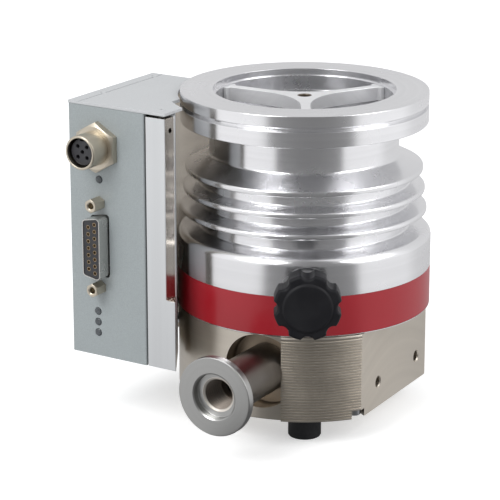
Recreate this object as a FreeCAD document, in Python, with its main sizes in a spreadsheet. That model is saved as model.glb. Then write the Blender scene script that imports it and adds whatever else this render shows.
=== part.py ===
# Turbomolecular pump with its drive electronics on a bracket.
# Millimetres. The origin is the centre of the inlet flange's sealing face.
# +Z runs up the rotor's axis and -Y faces the front, where the vent knob is.
import FreeCAD, Part
import os
import re
import Sketcher

doc = FreeCAD.newDocument("turbo_pump")

# Driving dimensions. Heights named _top, _bottom or _level are depths below the flange face.
SIZES = {
    # inlet flange and its centring recess
    "flange_radius": 47.5,
    "flange_height": 12.0,
    "flange_edge": 0.4,
    "recess_radius": 35.0,
    "recess_depth": 2.6,
    "star_seat_step": 1.0,
    "star_seat_level": 8.3,
    "inlet_ledge": 1.6,
    "rim_groove_top": 4.3,
    "rim_groove_bottom": 6.0,
    "rim_groove_depth": 1.6,
    "rim_groove_chamfer": 0.7,
    # housing
    "neck_wall": 3.0,
    "neck_bottom": 24.5,
    "first_fin_level": 29.0,
    "first_fin_depth": 5.4,
    "fin_pitch": 7.95,
    "fin_growth": 0.8,
    "fin_tip": 2.0,
    "fin_slope": 1.2,
    "valley_wall": 2.7,
    "shoulder_level": 54.0,
    "shoulder_rounding": 3.0,
    "fin_rounding": 0.6,
    "body_wall": 11.5,
    "housing_bottom": 83.6,
    "stack_step": 4.2,
    "stack_seat_level": 27.5,
    "band_top": 68.1,
    "band_bottom": 83.3,
    "band_thickness": 0.4,
    "fit_gap": 0.03,
    "seat_gap": 0.2,
    # star in the inlet
    "star_top": 2.8,
    "arm_width": 3.4,
    "arm_pad_width": 7.5,
    "arm_pad_depth": 2.4,
    "hub_radius": 9.4,
    "hub_scoop_radius": 13.4,
    "hub_scoop_distance": 17.5,
    "hub_hole_radius": 2.3,
    "hub_boss_radius": 9.0,
    "hub_boss_bottom": 11.7,
    "post_radius": 5.0,
    "post_bottom": 25.6,
    # upper bearings
    "magnet_height": 4.5,
    "fixed_magnet_radius": 8.2,
    "magnet_air_gap": 0.45,
    "turning_magnet_radius": 11.1,
    "magnet_turning_top": 13.4,
    "safety_radius": 3.9,
    "safety_bore": 1.85,
    "safety_height": 2.6,
    "safety_top": 8.6,
    "safety_wall": 0.5,
    "pin_radius": 1.6,
    "pin_top": 9.4,
    # rotor
    "nose_radius": 12.8,
    "nose_top": 12.9,
    "nose_floor": 28.0,
    "collar_radius": 15.4,
    "collar_top": 16.2,
    "collar_bottom": 18.2,
    "disc_seat_radius": 14.0,
    "tip_clearance": 0.8,
    "bell_inset": 6.6,
    "bell_wall": 1.6,
    "bell_web": 2.6,
    "bell_bottom": 82.0,
    "shoulder_radius": 9.0,
    "magnet_seat_radius": 6.0,
    "shaft_neck_radius": 4.5,
    "bearing_seat_radius": 3.0,
    "nut_thread_radius": 2.5,
    "motor_magnet_radius": 10.5,
    "motor_magnet_top": 66.0,
    "motor_magnet_bottom": 82.0,
    # stages
    "stage_gap": 0.7,
    "stator_height": 2.6,
    "rotor_height_1": 8.2,
    "rotor_height_2": 4.4,
    "rotor_height_3": 4.0,
    "rotor_height_4": 3.6,
    "rotor_height_5": 3.4,
    "rotor_root_1": 17.0,
    "root_growth": 1.1,
    "rotor_blade_thickness": 1.1,
    "stator_blade_thickness": 0.9,
    "stator_rim_width": 4.0,
    "stator_ring_width": 1.2,
    "stator_split": 0.12,
    "holweck_gap": 0.4,
    "holweck_groove_depth": 2.6,
    "holweck_groove_width": 9.0,
    "holweck_groove_lean": 12.0,
    # base
    "base_step": 0.5,
    "ridge_proud": 1.2,
    "ridged_start": -100.8,
    "ridged_end": -60.0,
    "ridge_pitch": 1.1,
    "ridge_depth": 0.3,
    "base_top": 83.8,
    "base_bottom": 117.0,
    "flat_cut": 8.5,
    "flat_azimuth": -28.8,
    "side_hole_radius": 2.1,
    "side_hole_depth": 8.0,
    "side_hole_spacing": 34.0,
    "side_hole_shift": 2.1,
    "side_hole_level": 107.0,
    "spigot_height": 3.0,
    "spigot_wall": 3.1,
    "channel_bottom": 100.0,
    "tower_clearance": 1.6,
    "tower_top": 63.4,
    "tower_floor": 88.0,
    "tower_wall": 3.7,
    "shaft_hole_radius": 5.2,
    "bearing_pocket_top": 91.0,
    "bearing_pocket_radius": 12.6,
    "cap_thread_radius": 14.2,
    "cap_thread_top": 110.5,
    "seal_cord": 0.75,
    "seal_room": 0.15,
    "screw_inset": 3.8,
    "screw_azimuth": -66.0,
    "screw_head_radius": 2.6,
    "screw_head_height": 2.8,
    "screw_radius": 1.6,
    "screw_top": 74.0,
    "notch_half_width": 3.0,
    "notch_height": 3.2,
    # motor and lower bearing
    "core_top": 67.0,
    "core_bottom": 81.0,
    "core_bore": 11.4,
    "slot_width": 5.0,
    "slot_inner": 14.0,
    "core_wall": 3.1,
    "coil_gap": 0.3,
    "coil_rise": 2.6,
    "bearing_top": 92.0,
    "bearing_height": 6.0,
    "bearing_radius": 9.5,
    "race_inner": 4.7,
    "race_outer": 7.8,
    "ball_radius": 1.75,
    "ball_circle": 6.25,
    "ball_gap": 0.04,
    "cage_half_wall": 0.75,
    "cage_height": 4.6,
    "holder_radius": 12.5,
    "felt_top": 99.6,
    "felt_bottom": 109.6,
    "felt_radius": 12.2,
    "nut_radius": 4.6,
    "nut_tip_radius": 3.0,
    "nut_bottom": 107.0,
    "nut_clearance": 0.4,
    # foreline port
    "port_azimuth": -120.5,
    "port_offset": 8.0,
    "port_level": 98.2,
    "port_reach": 31.9,
    "port_flange_radius": 15.0,
    "port_rim": 3.0,
    "port_taper": 1.8,
    "port_tube_radius": 9.2,
    "port_tube_reach": 9.4,
    "port_neck_radius": 6.6,
    "port_recess_radius": 8.6,
    "port_recess_depth": 3.0,
    "port_thread_radius": 5.72,
    "port_thread_depth": 12.0,
    "port_bore_radius": 3.6,
    "port_spigot_radius": 5.2,
    "port_spigot_length": 4.5,
    "port_seal_depth": 1.4,
    "pocket_radius": 14.4,
    "pocket_depth": 7.6,
    "port_screw_drop": 9.0,
    "port_screw_radius": 1.9,
    # vent valve
    "vent_level": 65.2,
    "vent_spot_radius": 8.6,
    "vent_spot_depth": 1.5,
    "vent_body_radius": 8.0,
    "vent_body_length": 11.0,
    "vent_thread_radius": 4.4,
    "vent_hole_radius": 2.0,
    "vent_chamber_radius": 3.6,
    "vent_seal_radius": 2.8,
    "vent_seal_height": 1.5,
    "spindle_radius": 1.8,
    "spindle_gap": 0.06,
    "spindle_thread_radius": 2.9,
    "knob_radius": 12.5,
    "knob_overhang": 13.4,
    "knob_depth": 11.6,
    "knob_scallop_radius": 2.9,
    "knob_scallop_distance": 14.0,
    "knob_edge": 0.9,
    "knob_rise": 0.8,
    "knob_rise_radius": 9.2,
    # feet
    "foot_radius": 6.3,
    "foot_height": 10.0,
    "foot_inset": 12.6,
    "foot_bore": 2.0,
    "foot_screw_head": 3.4,
    "foot_screw_sink": 5.0,
    "foot_screw_grip": 8.0,
    "foot_edge": 0.6,
    # controller
    "controller_yaw": 32.5,
    "case_reach": 21.1,
    "case_reach_front": 8.6,
    "case_depth": 56.0,
    "case_top": 2.0,
    "case_bottom": 101.5,
    "cover_thickness": 1.2,
    "joint_gap": 0.3,
    "panel_width": 34.8,
    "panel_thickness": 2.0,
    "panel_corner": 1.6,
    "case_wall": 1.6,
    "bracket_width": 9.4,
    "bracket_foot_width": 4.0,
    "bracket_step_level": 74.0,
    "bracket_block_depth": 17.0,
    "bracket_wall": 3.0,
    "bracket_clearance": 3.0,
    "bracket_screw_level": 93.0,
    "bracket_screw_radius": 2.0,
    "bracket_screw_head": 3.5,
    "bracket_screw_azimuth": 165.0,
    "bracket_screw_spread": 22.0,
    "connector_line": 14.0,
    "socket_level": 18.4,
    "socket_radius": 6.6,
    "socket_stem_step": 0.4,
    "socket_wall": 1.0,
    "socket_length": 12.0,
    "socket_behind": 6.0,
    "insert_sink": 3.0,
    "insert_gap": 0.5,
    "contact_circle": 2.9,
    "contact_radius": 0.5,
    "power_contact_radius": 0.75,
    "hex_across": 17.0,
    "hex_height": 3.2,
    "data_level": 57.0,
    "data_length": 24.7,
    "data_width": 7.9,
    "data_slant": 10.0,
    "data_projection": 6.0,
    "data_wall": 0.5,
    "data_plate_length": 38.5,
    "data_plate_width": 12.0,
    "data_plate_thickness": 0.8,
    "data_pitch": 2.74,
    "data_row_gap": 2.84,
    "jack_spacing": 33.3,
    "jack_across": 4.8,
    "jack_length": 6.0,
    "jack_bore": 1.2,
    "jack_stud_radius": 1.4,
    "light_radius": 1.4,
    "light_line": 12.4,
    "light_proud": 0.3,
    "top_light_level": 31.2,
    "low_light_level": 83.7,
    "low_light_pitch": 4.25,
    "board_gap": 9.0,
    "board_thickness": 1.6,
    "board_margin": 2.4,
    "standoff_radius": 2.4,
    "cover_screw_radius": 1.1,
    "cover_screw_head": 2.0,
    "cover_screw_length": 4.5,
}

# Sizes that follow from the ones above: the pump grows outwards from the inlet, wall by wall
FOLLOWS = {
    "inlet_bore_radius": "recess_radius - inlet_ledge",
    "star_seat_radius": "recess_radius - star_seat_step",
    "neck_radius": "inlet_bore_radius + neck_wall",
    "stack_radius": "inlet_bore_radius + stack_step",
    "valley_radius": "stack_radius + valley_wall",
    "first_fin_radius": "valley_radius + first_fin_depth",
    "body_radius": "stack_radius + body_wall",
    "rotor_tip_radius": "inlet_bore_radius - tip_clearance",
    "stator_rim_inner": "stack_radius - stator_rim_width",
    "bell_outer": "stack_radius - bell_inset",
    "base_radius": "body_radius - base_step",
    "ridged_radius": "base_radius + ridge_proud",
    "flat_distance": "base_radius - flat_cut",
    "channel_outer": "stack_radius - spigot_wall",
    "tower_radius": "bell_outer - bell_wall - tower_clearance",
    "motor_bore_radius": "tower_radius - tower_wall",
    "slot_outer": "motor_bore_radius - core_wall",
    "base_seal_circle": "stack_radius + seal_cord + seal_room",
    "screw_circle": "body_radius - screw_inset",
    "foot_circle": "base_radius - foot_inset",
    "pocket_floor": "base_radius - pocket_depth",
    "port_tube_start": "base_radius + port_tube_reach",
    "port_face": "base_radius + port_reach",
    "vent_spot_floor": "body_radius - vent_spot_depth",
    "vent_body_front": "vent_spot_floor + vent_body_length",
    "knob_face": "vent_body_front + knob_overhang",
    "case_left": "base_radius + case_reach",
    "case_front": "base_radius + case_reach_front",
}

sheet = doc.addObject("Spreadsheet::Sheet", "size")
for row, (alias, size) in enumerate(list(SIZES.items()) + list(FOLLOWS.items())):
    sheet.set("A%d" % (row + 1), alias)
    sheet.set("B%d" % (row + 1), repr(size) if alias in SIZES else "=" + size)
    sheet.setAlias("B%d" % (row + 1), alias)
doc.recompute()


NAMES = set(SIZES) | set(FOLLOWS)


def bound(words):
    """Turn plain names of sizes into references to the sheet's cells."""
    return re.sub(r"[a-z][a-z_0-9]*", lambda m: "size." + m[0] if m[0] in NAMES else m[0], words)


def value(words):
    """The present value of an expression of sizes, for a sketch's first drawing."""
    found = sheet.evalExpression(bound(words))
    return float(getattr(found, "Value", found))


def tie(thing, **words):
    """Bind properties of an object; a double underscore stands for a dot."""
    for name, text in words.items():
        thing.setExpression(name.replace("__", "."), bound(text))
    return thing


def body(label):
    made = doc.addObject("PartDesign::Body", label)
    made.Label = label
    return made


def plane(made, role):
    return next(f for f in made.Origin.OriginFeatures if f.Role == role)


def sketch(made, role, lift=None):
    """An empty sketch on one of the body's own origin planes, lifted off it by an expression."""
    drawn = made.newObject("Sketcher::SketchObject", made.Name + "_sketch")
    drawn.AttachmentSupport = [(plane(made, role), "")]
    drawn.MapMode = "FlatFace"
    if lift:
        drawn.setExpression(".AttachmentOffset.Base.z", bound(lift))
    return drawn


def outline(drawn, points):
    """A closed outline of straight lines whose corners are bound to expressions."""
    spots = [FreeCAD.Vector(value(across), value(up), 0) for across, up in points]
    first = drawn.GeometryCount
    count = len(points)
    for i in range(count):
        drawn.addGeometry(Part.LineSegment(spots[i], spots[(i + 1) % count]), False)
    for i in range(count):
        drawn.addConstraint(Sketcher.Constraint("Coincident", first + i, 2, first + (i + 1) % count, 1))
    for i, (across, up) in enumerate(points):
        for kind, words, axis in (("DistanceX", across, -2), ("DistanceY", up, -1)):
            if words == "0":
                drawn.addConstraint(Sketcher.Constraint("PointOnObject", first + i, 1, axis))
                continue
            index = drawn.addConstraint(Sketcher.Constraint(kind, -1, 1, first + i, 1, value(words)))
            drawn.setExpression("Constraints[%d]" % index, bound(words))


def circle(drawn, across, up, radius):
    centre = FreeCAD.Vector(value(across), value(up), 0)
    made = drawn.addGeometry(Part.Circle(centre, FreeCAD.Vector(0, 0, 1), value(radius)), False)
    for kind, words, axis in (("DistanceX", across, -2), ("DistanceY", up, -1)):
        if words == "0":
            drawn.addConstraint(Sketcher.Constraint("PointOnObject", made, 3, axis))
            continue
        index = drawn.addConstraint(Sketcher.Constraint(kind, -1, 1, made, 3, value(words)))
        drawn.setExpression("Constraints[%d]" % index, bound(words))
    index = drawn.addConstraint(Sketcher.Constraint("Radius", made, value(radius)))
    drawn.setExpression("Constraints[%d]" % index, bound(radius))


def turned(label, points, axis="V_Axis"):
    """A piece from the lathe: an outline of (radius, height), or of (along, radius) about H_Axis."""
    made = body(label)
    drawn = sketch(made, "XZ_Plane")
    outline(drawn, points)
    turn = made.newObject("PartDesign::Revolution", label + "_turn")
    turn.Profile = drawn
    turn.ReferenceAxis = (drawn, [axis])
    turn.Angle = 360
    return made


def ring(label, inner, outer, top, bottom):
    """A plain ring round the rotor's axis between two depths."""
    return turned(label, [(inner, "-(%s)" % bottom), (outer, "-(%s)" % bottom),
                          (outer, "-(%s)" % top), (inner, "-(%s)" % top)])


def cut(made, drawn, length, reverse=False):
    pocket = made.newObject("PartDesign::Pocket", made.Name + "_cut")
    pocket.Profile = drawn
    pocket.Reversed = reverse
    tie(pocket, Length=length)
    return pocket


def spread(made, feature, count, axis="Z_Axis"):
    """Repeat a feature evenly round one of the body's own axes."""
    pattern = made.newObject("PartDesign::PolarPattern", feature.Name + "_round")
    pattern.Originals = [feature]
    pattern.Axis = (plane(made, axis), [""])
    pattern.Angle = 360
    pattern.Occurrences = count
    made.Tip = pattern
    return pattern


def edges_at(shape, radius, level):
    """Names of the round edges about the Z axis with this radius at this depth."""
    names = []
    for i, edge in enumerate(shape.Edges):
        curve = edge.Curve
        if not isinstance(curve, Part.Circle) or abs(curve.Center.z + level) > 0.01:
            continue
        if abs(curve.Radius - radius) < 0.01 and abs(curve.Center.x) + abs(curve.Center.y) < 0.01:
            names.append("Edge%d" % (i + 1))
    return names


def cylinder(label, radius, height, x="0", y="0", z="0"):
    made = doc.addObject("Part::Cylinder", label)
    return tie(made, Radius=radius, Height=height, Placement__Base__x=x, Placement__Base__y=y,
               Placement__Base__z=z)


def lying(label, radius, height, x="0", y="0", z="0", axis=(1, 0, 0)):
    """A cylinder lying along X, or along Y if that axis is given."""
    made = cylinder(label, radius, height, x, y, z)
    turn = FreeCAD.Rotation(FreeCAD.Vector(0, 0, 1), FreeCAD.Vector(*axis))
    made.Placement = FreeCAD.Placement(made.Placement.Base, turn)
    return made


def block(label, x, y, z, across, deep, high):
    """A box from its lowest corner."""
    made = doc.addObject("Part::Box", label)
    return tie(made, Length=across, Width=deep, Height=high, Placement__Base__x=x,
               Placement__Base__y=y, Placement__Base__z=z)


def prism(label, across, height, x="0", y="0", z="0"):
    """A hexagonal bar, its size given across the flats."""
    made = doc.addObject("Part::Prism", label)
    made.Polygon = 6
    return tie(made, Circumradius="(%s) / 2 / cos(30 * 1deg)" % across, Height=height,
               Placement__Base__x=x, Placement__Base__y=y, Placement__Base__z=z)


def less(label, base, *tools):
    """Base without the tools."""
    made = doc.addObject("Part::Cut", label)
    made.Base = base
    made.Tool = tools[0] if len(tools) == 1 else together(label + "_tools", *tools)
    made.Label = label
    return made


def together(label, *pieces):
    made = doc.addObject("Part::MultiFuse", label)
    made.Shapes = list(pieces)
    made.Label = label
    return made


def shared(label, one, other):
    made = doc.addObject("Part::Common", label)
    made.Base = one
    made.Tool = other
    made.Label = label
    return made


def group(label, pieces):
    """Separate like solids as one node."""
    made = doc.addObject("Part::Compound", label)
    made.Links = list(pieces)
    made.Label = label
    return made


def turn_to(thing, angle):
    """Turn a finished piece about the rotor's axis."""
    return tie(thing, Placement__Rotation__Angle="(%s) * 1deg" % angle)


def at_port(thing):
    """Set a piece whose X axis is the port's axis in its place."""
    turn_to(thing, "port_azimuth + 360")
    return tie(thing, Placement__Base__x="-port_offset * sin(port_azimuth * 1deg)",
               Placement__Base__y="port_offset * cos(port_azimuth * 1deg)",
               Placement__Base__z="-port_level")


def at_vent(thing):
    """Set a piece whose X axis is the vent valve's axis in its place, facing the front."""
    turn_to(thing, "270")
    return tie(thing, Placement__Base__z="-vent_level")


def at_case(thing):
    """Controller pieces are drawn square to the panel, then turned with the controller."""
    return turn_to(thing, "360 - controller_yaw")


# Housing: turned from one piece with the inlet flange, the neck, the cone and the fins
FINS = 3
fin_points = []
for i in range(FINS):
    top = "-(first_fin_level + %d * fin_pitch)" % i
    tip = "first_fin_radius + %d * fin_growth" % i
    if i:
        fin_points.append(("valley_radius", top + " + fin_slope"))
    fin_points.append((tip, top))
    fin_points.append((tip, top + " - fin_tip"))
    fin_points.append(("valley_radius", top + " - fin_tip - 0.5 * fin_slope"))
pump_housing = turned("pump_housing", [
    ("recess_radius", "0"),
    ("flange_radius - flange_edge", "0"),
    ("flange_radius", "-flange_edge"),
    ("flange_radius", "-rim_groove_top"),
    ("flange_radius - rim_groove_depth", "-rim_groove_top - rim_groove_chamfer"),
    ("flange_radius - rim_groove_depth", "-rim_groove_bottom"),
    ("flange_radius", "-rim_groove_bottom"),
    ("flange_radius", "-flange_height"),
    ("neck_radius", "-flange_height"),
    ("neck_radius", "-neck_bottom")] + fin_points + [
    ("valley_radius", "-shoulder_level + fin_slope"),
    ("body_radius", "-shoulder_level"),
    ("body_radius", "-band_top"),
    ("body_radius - band_thickness", "-band_top"),
    ("body_radius - band_thickness", "-band_bottom"),
    ("body_radius", "-band_bottom"),
    ("body_radius", "-housing_bottom"),
    ("stack_radius", "-housing_bottom"),
    ("stack_radius", "-stack_seat_level"),
    ("inlet_bore_radius", "-stack_seat_level"),
    ("inlet_bore_radius", "-star_seat_level"),
    ("star_seat_radius", "-star_seat_level"),
    ("star_seat_radius", "-recess_depth"),
    ("recess_radius", "-recess_depth")])
doc.recompute()
housing_turn = pump_housing.Tip
shoulder_edges = edges_at(housing_turn.Shape, value("body_radius"), SIZES["shoulder_level"])
shoulder = pump_housing.newObject("PartDesign::Fillet", "housing_shoulder")
shoulder.Base = (housing_turn, shoulder_edges)
tie(shoulder, Radius="shoulder_rounding")
doc.recompute()
fin_edges = []
for i in range(FINS):
    fin_top = SIZES["first_fin_level"] + i * SIZES["fin_pitch"]
    fin_radius = value("first_fin_radius") + i * SIZES["fin_growth"]
    for level in (fin_top, fin_top + SIZES["fin_tip"]):
        fin_edges += edges_at(shoulder.Shape, fin_radius, level)
rounding = pump_housing.newObject("PartDesign::Fillet", "fin_tips")
rounding.Base = (shoulder, fin_edges)
tie(rounding, Radius="fin_rounding")
spot = sketch(pump_housing, "XZ_Plane", "vent_spot_floor")
circle(spot, "0", "-vent_level", "vent_spot_radius")
cut(pump_housing, spot, "flange_radius", True)
vent_way = sketch(pump_housing, "XZ_Plane", "stack_radius - 5")
circle(vent_way, "0", "-vent_level", "vent_thread_radius + fit_gap")
cut(pump_housing, vent_way, "flange_radius", True)
SCREWS = 4
thread_way = sketch(pump_housing, "XY_Plane", "-housing_bottom")
circle(thread_way, "screw_circle * cos(screw_azimuth * 1deg)", "screw_circle * sin(screw_azimuth * 1deg)",
       "screw_radius + fit_gap")
spread(pump_housing, cut(pump_housing, thread_way, "housing_bottom - screw_top + 1", True), SCREWS)

# Colour band: a thin red strip in its groove round the lower cylinder, cut out at the vent valve
band_ring = ring("band_ring", "body_radius - band_thickness + fit_gap", "body_radius",
                 "band_top + fit_gap", "band_bottom - fit_gap")
band_cut = lying("band_cut", "vent_spot_radius + seat_gap", "body_radius", "0", "-1.5 * body_radius",
                 "-vent_level", (0, 1, 0))
colour_band = less("colour_band", band_ring, band_cut)

# Star in the inlet: three arms on a ledge, a concave-sided hub and the post of the magnetic bearing
arms = []
for i in range(3):
    arm = block("arm_%d" % i, "0", "-arm_width / 2", "-star_seat_level", "star_seat_radius",
                "arm_width", "star_seat_level - star_top")
    pad = block("pad_%d" % i, "star_seat_radius - arm_pad_depth", "-arm_pad_width / 2", "-star_seat_level",
                "arm_pad_depth", "arm_pad_width", "star_seat_level - star_top")
    arms.append(turn_to(together("arm_with_pad_%d" % i, arm, pad), str(30 + 120 * i)))
hub_disc = cylinder("hub_disc", "hub_radius", "star_seat_level - star_top", z="-star_seat_level")
scoops = []
for i in range(3):
    angle = "%d * 1deg" % (90 + 120 * i)
    scoops.append(cylinder("scoop_%d" % i, "hub_scoop_radius", "star_seat_level",
                           "hub_scoop_distance * cos(%s)" % angle, "hub_scoop_distance * sin(%s)" % angle,
                           "-star_seat_level"))
star_hub = less("star_hub", hub_disc, *scoops)
star_round = cylinder("star_round", "star_seat_radius - fit_gap", "star_seat_level", z="-star_seat_level")
star_arms = shared("star_arms", together("three_arms", *arms), star_round)
star_post = turned("star_post", [
    ("hub_hole_radius", "-post_bottom"), ("post_radius", "-post_bottom"),
    ("post_radius", "-hub_boss_bottom"), ("hub_boss_radius", "-hub_boss_bottom"),
    ("hub_boss_radius", "-star_seat_level"), ("hub_hole_radius", "-star_seat_level")])
hub_hole = cylinder("hub_hole", "hub_hole_radius", "post_bottom", z="-post_bottom")
safety_seat = cylinder("safety_seat", "safety_radius + fit_gap", "safety_height + fit_gap",
                       z="-safety_top - safety_height")
inlet_star = less("inlet_star", together("star_whole", star_hub, star_arms, star_post), hub_hole, safety_seat)

# Safety bearing: a small ball bearing in the hub that the rotor's pin runs in only when it is knocked
SAFETY_BALLS = 8
safety_rings = [
    ring("safety_outer", "safety_radius - safety_wall", "safety_radius", "safety_top",
         "safety_top + safety_height"),
    ring("safety_inner", "safety_bore", "safety_bore + safety_wall", "safety_top",
         "safety_top + safety_height")]
for i in range(SAFETY_BALLS):
    ball = doc.addObject("Part::Sphere", "safety_ball_%d" % i)
    reach = "(safety_radius + safety_bore) / 2"
    tie(ball, Radius="(safety_radius - safety_bore) / 2 - safety_wall - 0.5 * fit_gap",
        Placement__Base__x="%s * cos(%g * 1deg)" % (reach, 360 * i / SAFETY_BALLS),
        Placement__Base__y="%s * sin(%g * 1deg)" % (reach, 360 * i / SAFETY_BALLS),
        Placement__Base__z="-safety_top - safety_height / 2")
    safety_rings.append(ball)
safety_bearing = group("safety_bearing", safety_rings)

# Magnetic bearing: three ring magnets on the star's post and three in the rotor's nose
MAGNETS = 3
fixed_magnets = []
turning_magnets = []
for i in range(MAGNETS):
    fixed_magnets.append(ring("fixed_magnet_%d" % i, "post_radius + fit_gap", "fixed_magnet_radius",
                              "hub_boss_bottom + %d * magnet_height" % i,
                              "hub_boss_bottom + %d * magnet_height" % (i + 1)))
    turning_magnets.append(ring("turning_magnet_%d" % i, "fixed_magnet_radius + magnet_air_gap",
                                "turning_magnet_radius", "magnet_turning_top + %d * magnet_height" % i,
                                "magnet_turning_top + %d * magnet_height" % (i + 1)))
magnet_stack_fixed = group("magnet_stack_fixed", fixed_magnets)
magnet_stack_rotor = group("magnet_stack_rotor", turning_magnets)

# Stages: the depth of every disc follows from the heights and the gap between rotor and stator
STAGES = 5
rotor_top = ["(stack_seat_level - stage_gap - rotor_height_1)"]
stator_top = []
for i in range(1, STAGES):
    stator_top.append("(%s + rotor_height_%d + stage_gap)" % (rotor_top[-1], i))
    rotor_top.append("(%s + stator_height + stage_gap)" % stator_top[-1])
stack_end = "(%s + rotor_height_%d + 1.2 * stage_gap)" % (rotor_top[-1], STAGES)

# Rotor shaft: nose with its magnet pocket and pin, disc seat, motor seat, bearing seat, nut thread
bell_top = stack_end
bell_hub_bottom = "(%s + bell_web + 1.5)" % bell_top
rotor_shaft = turned("rotor_shaft", [
    ("0", "-pin_top"),
    ("pin_radius", "-pin_top"),
    ("pin_radius", "-nose_floor"),
    ("turning_magnet_radius + fit_gap", "-nose_floor"),
    ("turning_magnet_radius + fit_gap", "-nose_top"),
    ("nose_radius", "-nose_top"),
    ("nose_radius", "-collar_top"),
    ("collar_radius", "-collar_top - 0.6"),
    ("collar_radius", "-collar_bottom"),
    ("disc_seat_radius", "-collar_bottom"),
    ("disc_seat_radius", "-" + bell_hub_bottom),
    ("shoulder_radius", "-%s - 0.8" % bell_hub_bottom),
    ("shoulder_radius", "-motor_magnet_top"),
    ("magnet_seat_radius", "-motor_magnet_top"),
    ("magnet_seat_radius", "-motor_magnet_bottom"),
    ("shaft_neck_radius", "-motor_magnet_bottom"),
    ("shaft_neck_radius", "-bearing_top"),
    ("bearing_seat_radius", "-bearing_top"),
    ("bearing_seat_radius", "-bearing_top - bearing_height"),
    ("nut_thread_radius", "-bearing_top - bearing_height"),
    ("nut_thread_radius", "-nut_bottom + 2"),
    ("0", "-nut_bottom + 2")])

# Rotor discs: hub rings stacked on the seat, with flat leaning blades milled on their rims
BLADES = (20, 24, 28, 30, 32)
ROTOR_LEAN = (45, 38, 34, 30, 28)
rotor_discs = []
for i in range(STAGES):
    top = rotor_top[i]
    root = "(rotor_root_1 + %d * root_growth)" % i
    hub_top = "collar_bottom" if i == 0 else rotor_top[i]
    hub_bottom = rotor_top[i + 1] if i + 1 < STAGES else bell_top
    height = "rotor_height_%d" % (i + 1)
    disc = ring("rotor_disc_%d" % (i + 1), "disc_seat_radius + fit_gap", root, hub_top, hub_bottom)
    drawn = sketch(disc, "YZ_Plane", root + " - 1.2")
    lean = "%s * tan(%d * 1deg) / 2" % (height, ROTOR_LEAN[i])
    half = "rotor_blade_thickness / 2 / cos(%d * 1deg)" % ROTOR_LEAN[i]
    outline(drawn, [("-(%s) - %s" % (lean, half), "-" + top), ("-(%s) + %s" % (lean, half), "-" + top),
                    ("(%s) + %s" % (lean, half), "-%s - %s" % (top, height)),
                    ("(%s) - %s" % (lean, half), "-%s - %s" % (top, height))])
    blade = disc.newObject("PartDesign::Pad", "rotor_blade_%d" % (i + 1))
    blade.Profile = drawn
    tie(blade, Length="rotor_tip_radius - %s + 1.2" % root)
    spread(disc, blade, BLADES[i])
    rotor_discs.append(disc)

# Stator discs: a rim and an inner ring joined by blades that lean the other way, split in two halves
VANES = (22, 26, 30, 32)
STATOR_LEAN = (42, 38, 34, 30)
stator_discs = []
for i in range(STAGES - 1):
    top = stator_top[i]
    inner = "(rotor_root_1 + %d * root_growth + 0.6)" % (i + 1)
    disc = body("stator_whole_%d" % (i + 1))
    rings = sketch(disc, "XY_Plane", "-%s - stator_height" % top)
    circle(rings, "0", "0", "stack_radius - fit_gap")
    circle(rings, "0", "0", "stator_rim_inner")
    circle(rings, "0", "0", inner + " + stator_ring_width")
    circle(rings, "0", "0", inner)
    drawn = sketch(disc, "YZ_Plane", inner + " + 0.5 * stator_ring_width")
    lean = "stator_height * tan(%d * 1deg) / 2" % STATOR_LEAN[i]
    half = "stator_blade_thickness / 2 / cos(%d * 1deg)" % STATOR_LEAN[i]
    outline(drawn, [("(%s) - %s" % (lean, half), "-" + top), ("(%s) + %s" % (lean, half), "-" + top),
                    ("-(%s) + %s" % (lean, half), "-%s - stator_height" % top),
                    ("-(%s) - %s" % (lean, half), "-%s - stator_height" % top)])
    flat = disc.newObject("PartDesign::Pad", "stator_rings_%d" % (i + 1))
    disc.AllowCompound = True
    flat.Profile = rings
    tie(flat, Length="stator_height")
    vane = disc.newObject("PartDesign::Pad", "stator_vane_%d" % (i + 1))
    vane.Profile = drawn
    tie(vane, Length="stator_rim_inner + 0.6 - %s - 0.5 * stator_ring_width" % inner)
    spread(disc, vane, VANES[i])
    slit = block("stator_slit_%d" % (i + 1), "-stack_radius - 1", "-stator_split / 2",
                 "-%s - stator_height - 1" % top, "2 * stack_radius + 2", "stator_split", "stator_height + 2")
    halves = less("stator_disc_%d" % (i + 1), disc, slit)
    stator_discs.append(halves)

# Spacer rings: plain rings that hold the stator discs apart in the housing's bore
for i in range(STAGES - 1):
    below = stator_top[i + 1] if i + 2 < STAGES else stack_end
    ring("spacer_ring_%d" % (i + 1), "stator_rim_inner", "stack_radius - fit_gap",
         stator_top[i] + " + stator_height", below)

# Molecular drag stage: a smooth bell on the rotor inside a sleeve with slanted grooves
holweck_sleeve = turned("holweck_sleeve", [
    ("disc_seat_radius + fit_gap", "-" + bell_top),
    ("bell_outer", "-" + bell_top),
    ("bell_outer", "-bell_bottom"),
    ("bell_outer - bell_wall", "-bell_bottom"),
    ("bell_outer - bell_wall", "-%s - bell_web" % bell_top),
    ("disc_seat_radius + 5", "-%s - bell_web" % bell_top),
    ("disc_seat_radius + 3.5", "-" + bell_hub_bottom),
    ("disc_seat_radius + fit_gap", "-" + bell_hub_bottom)])
GROOVES = 6
holweck_stator = ring("holweck_stator", "bell_outer + holweck_gap", "stack_radius - fit_gap", stack_end, "base_top - spigot_height")
groove = sketch(holweck_stator, "YZ_Plane", "bell_outer - 8")
groove_top = "-%s + 1" % stack_end
groove_end = "-base_top + spigot_height - 1"
groove_half = "holweck_groove_width / 2"
outline(groove, [("-holweck_groove_lean / 2 - " + groove_half, groove_top),
                 ("-holweck_groove_lean / 2 + " + groove_half, groove_top),
                 ("holweck_groove_lean / 2 + " + groove_half, groove_end),
                 ("holweck_groove_lean / 2 - " + groove_half, groove_end)])
spread(holweck_stator, cut(holweck_stator, groove, "8 + holweck_gap + holweck_groove_depth", True), GROOVES)

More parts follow.
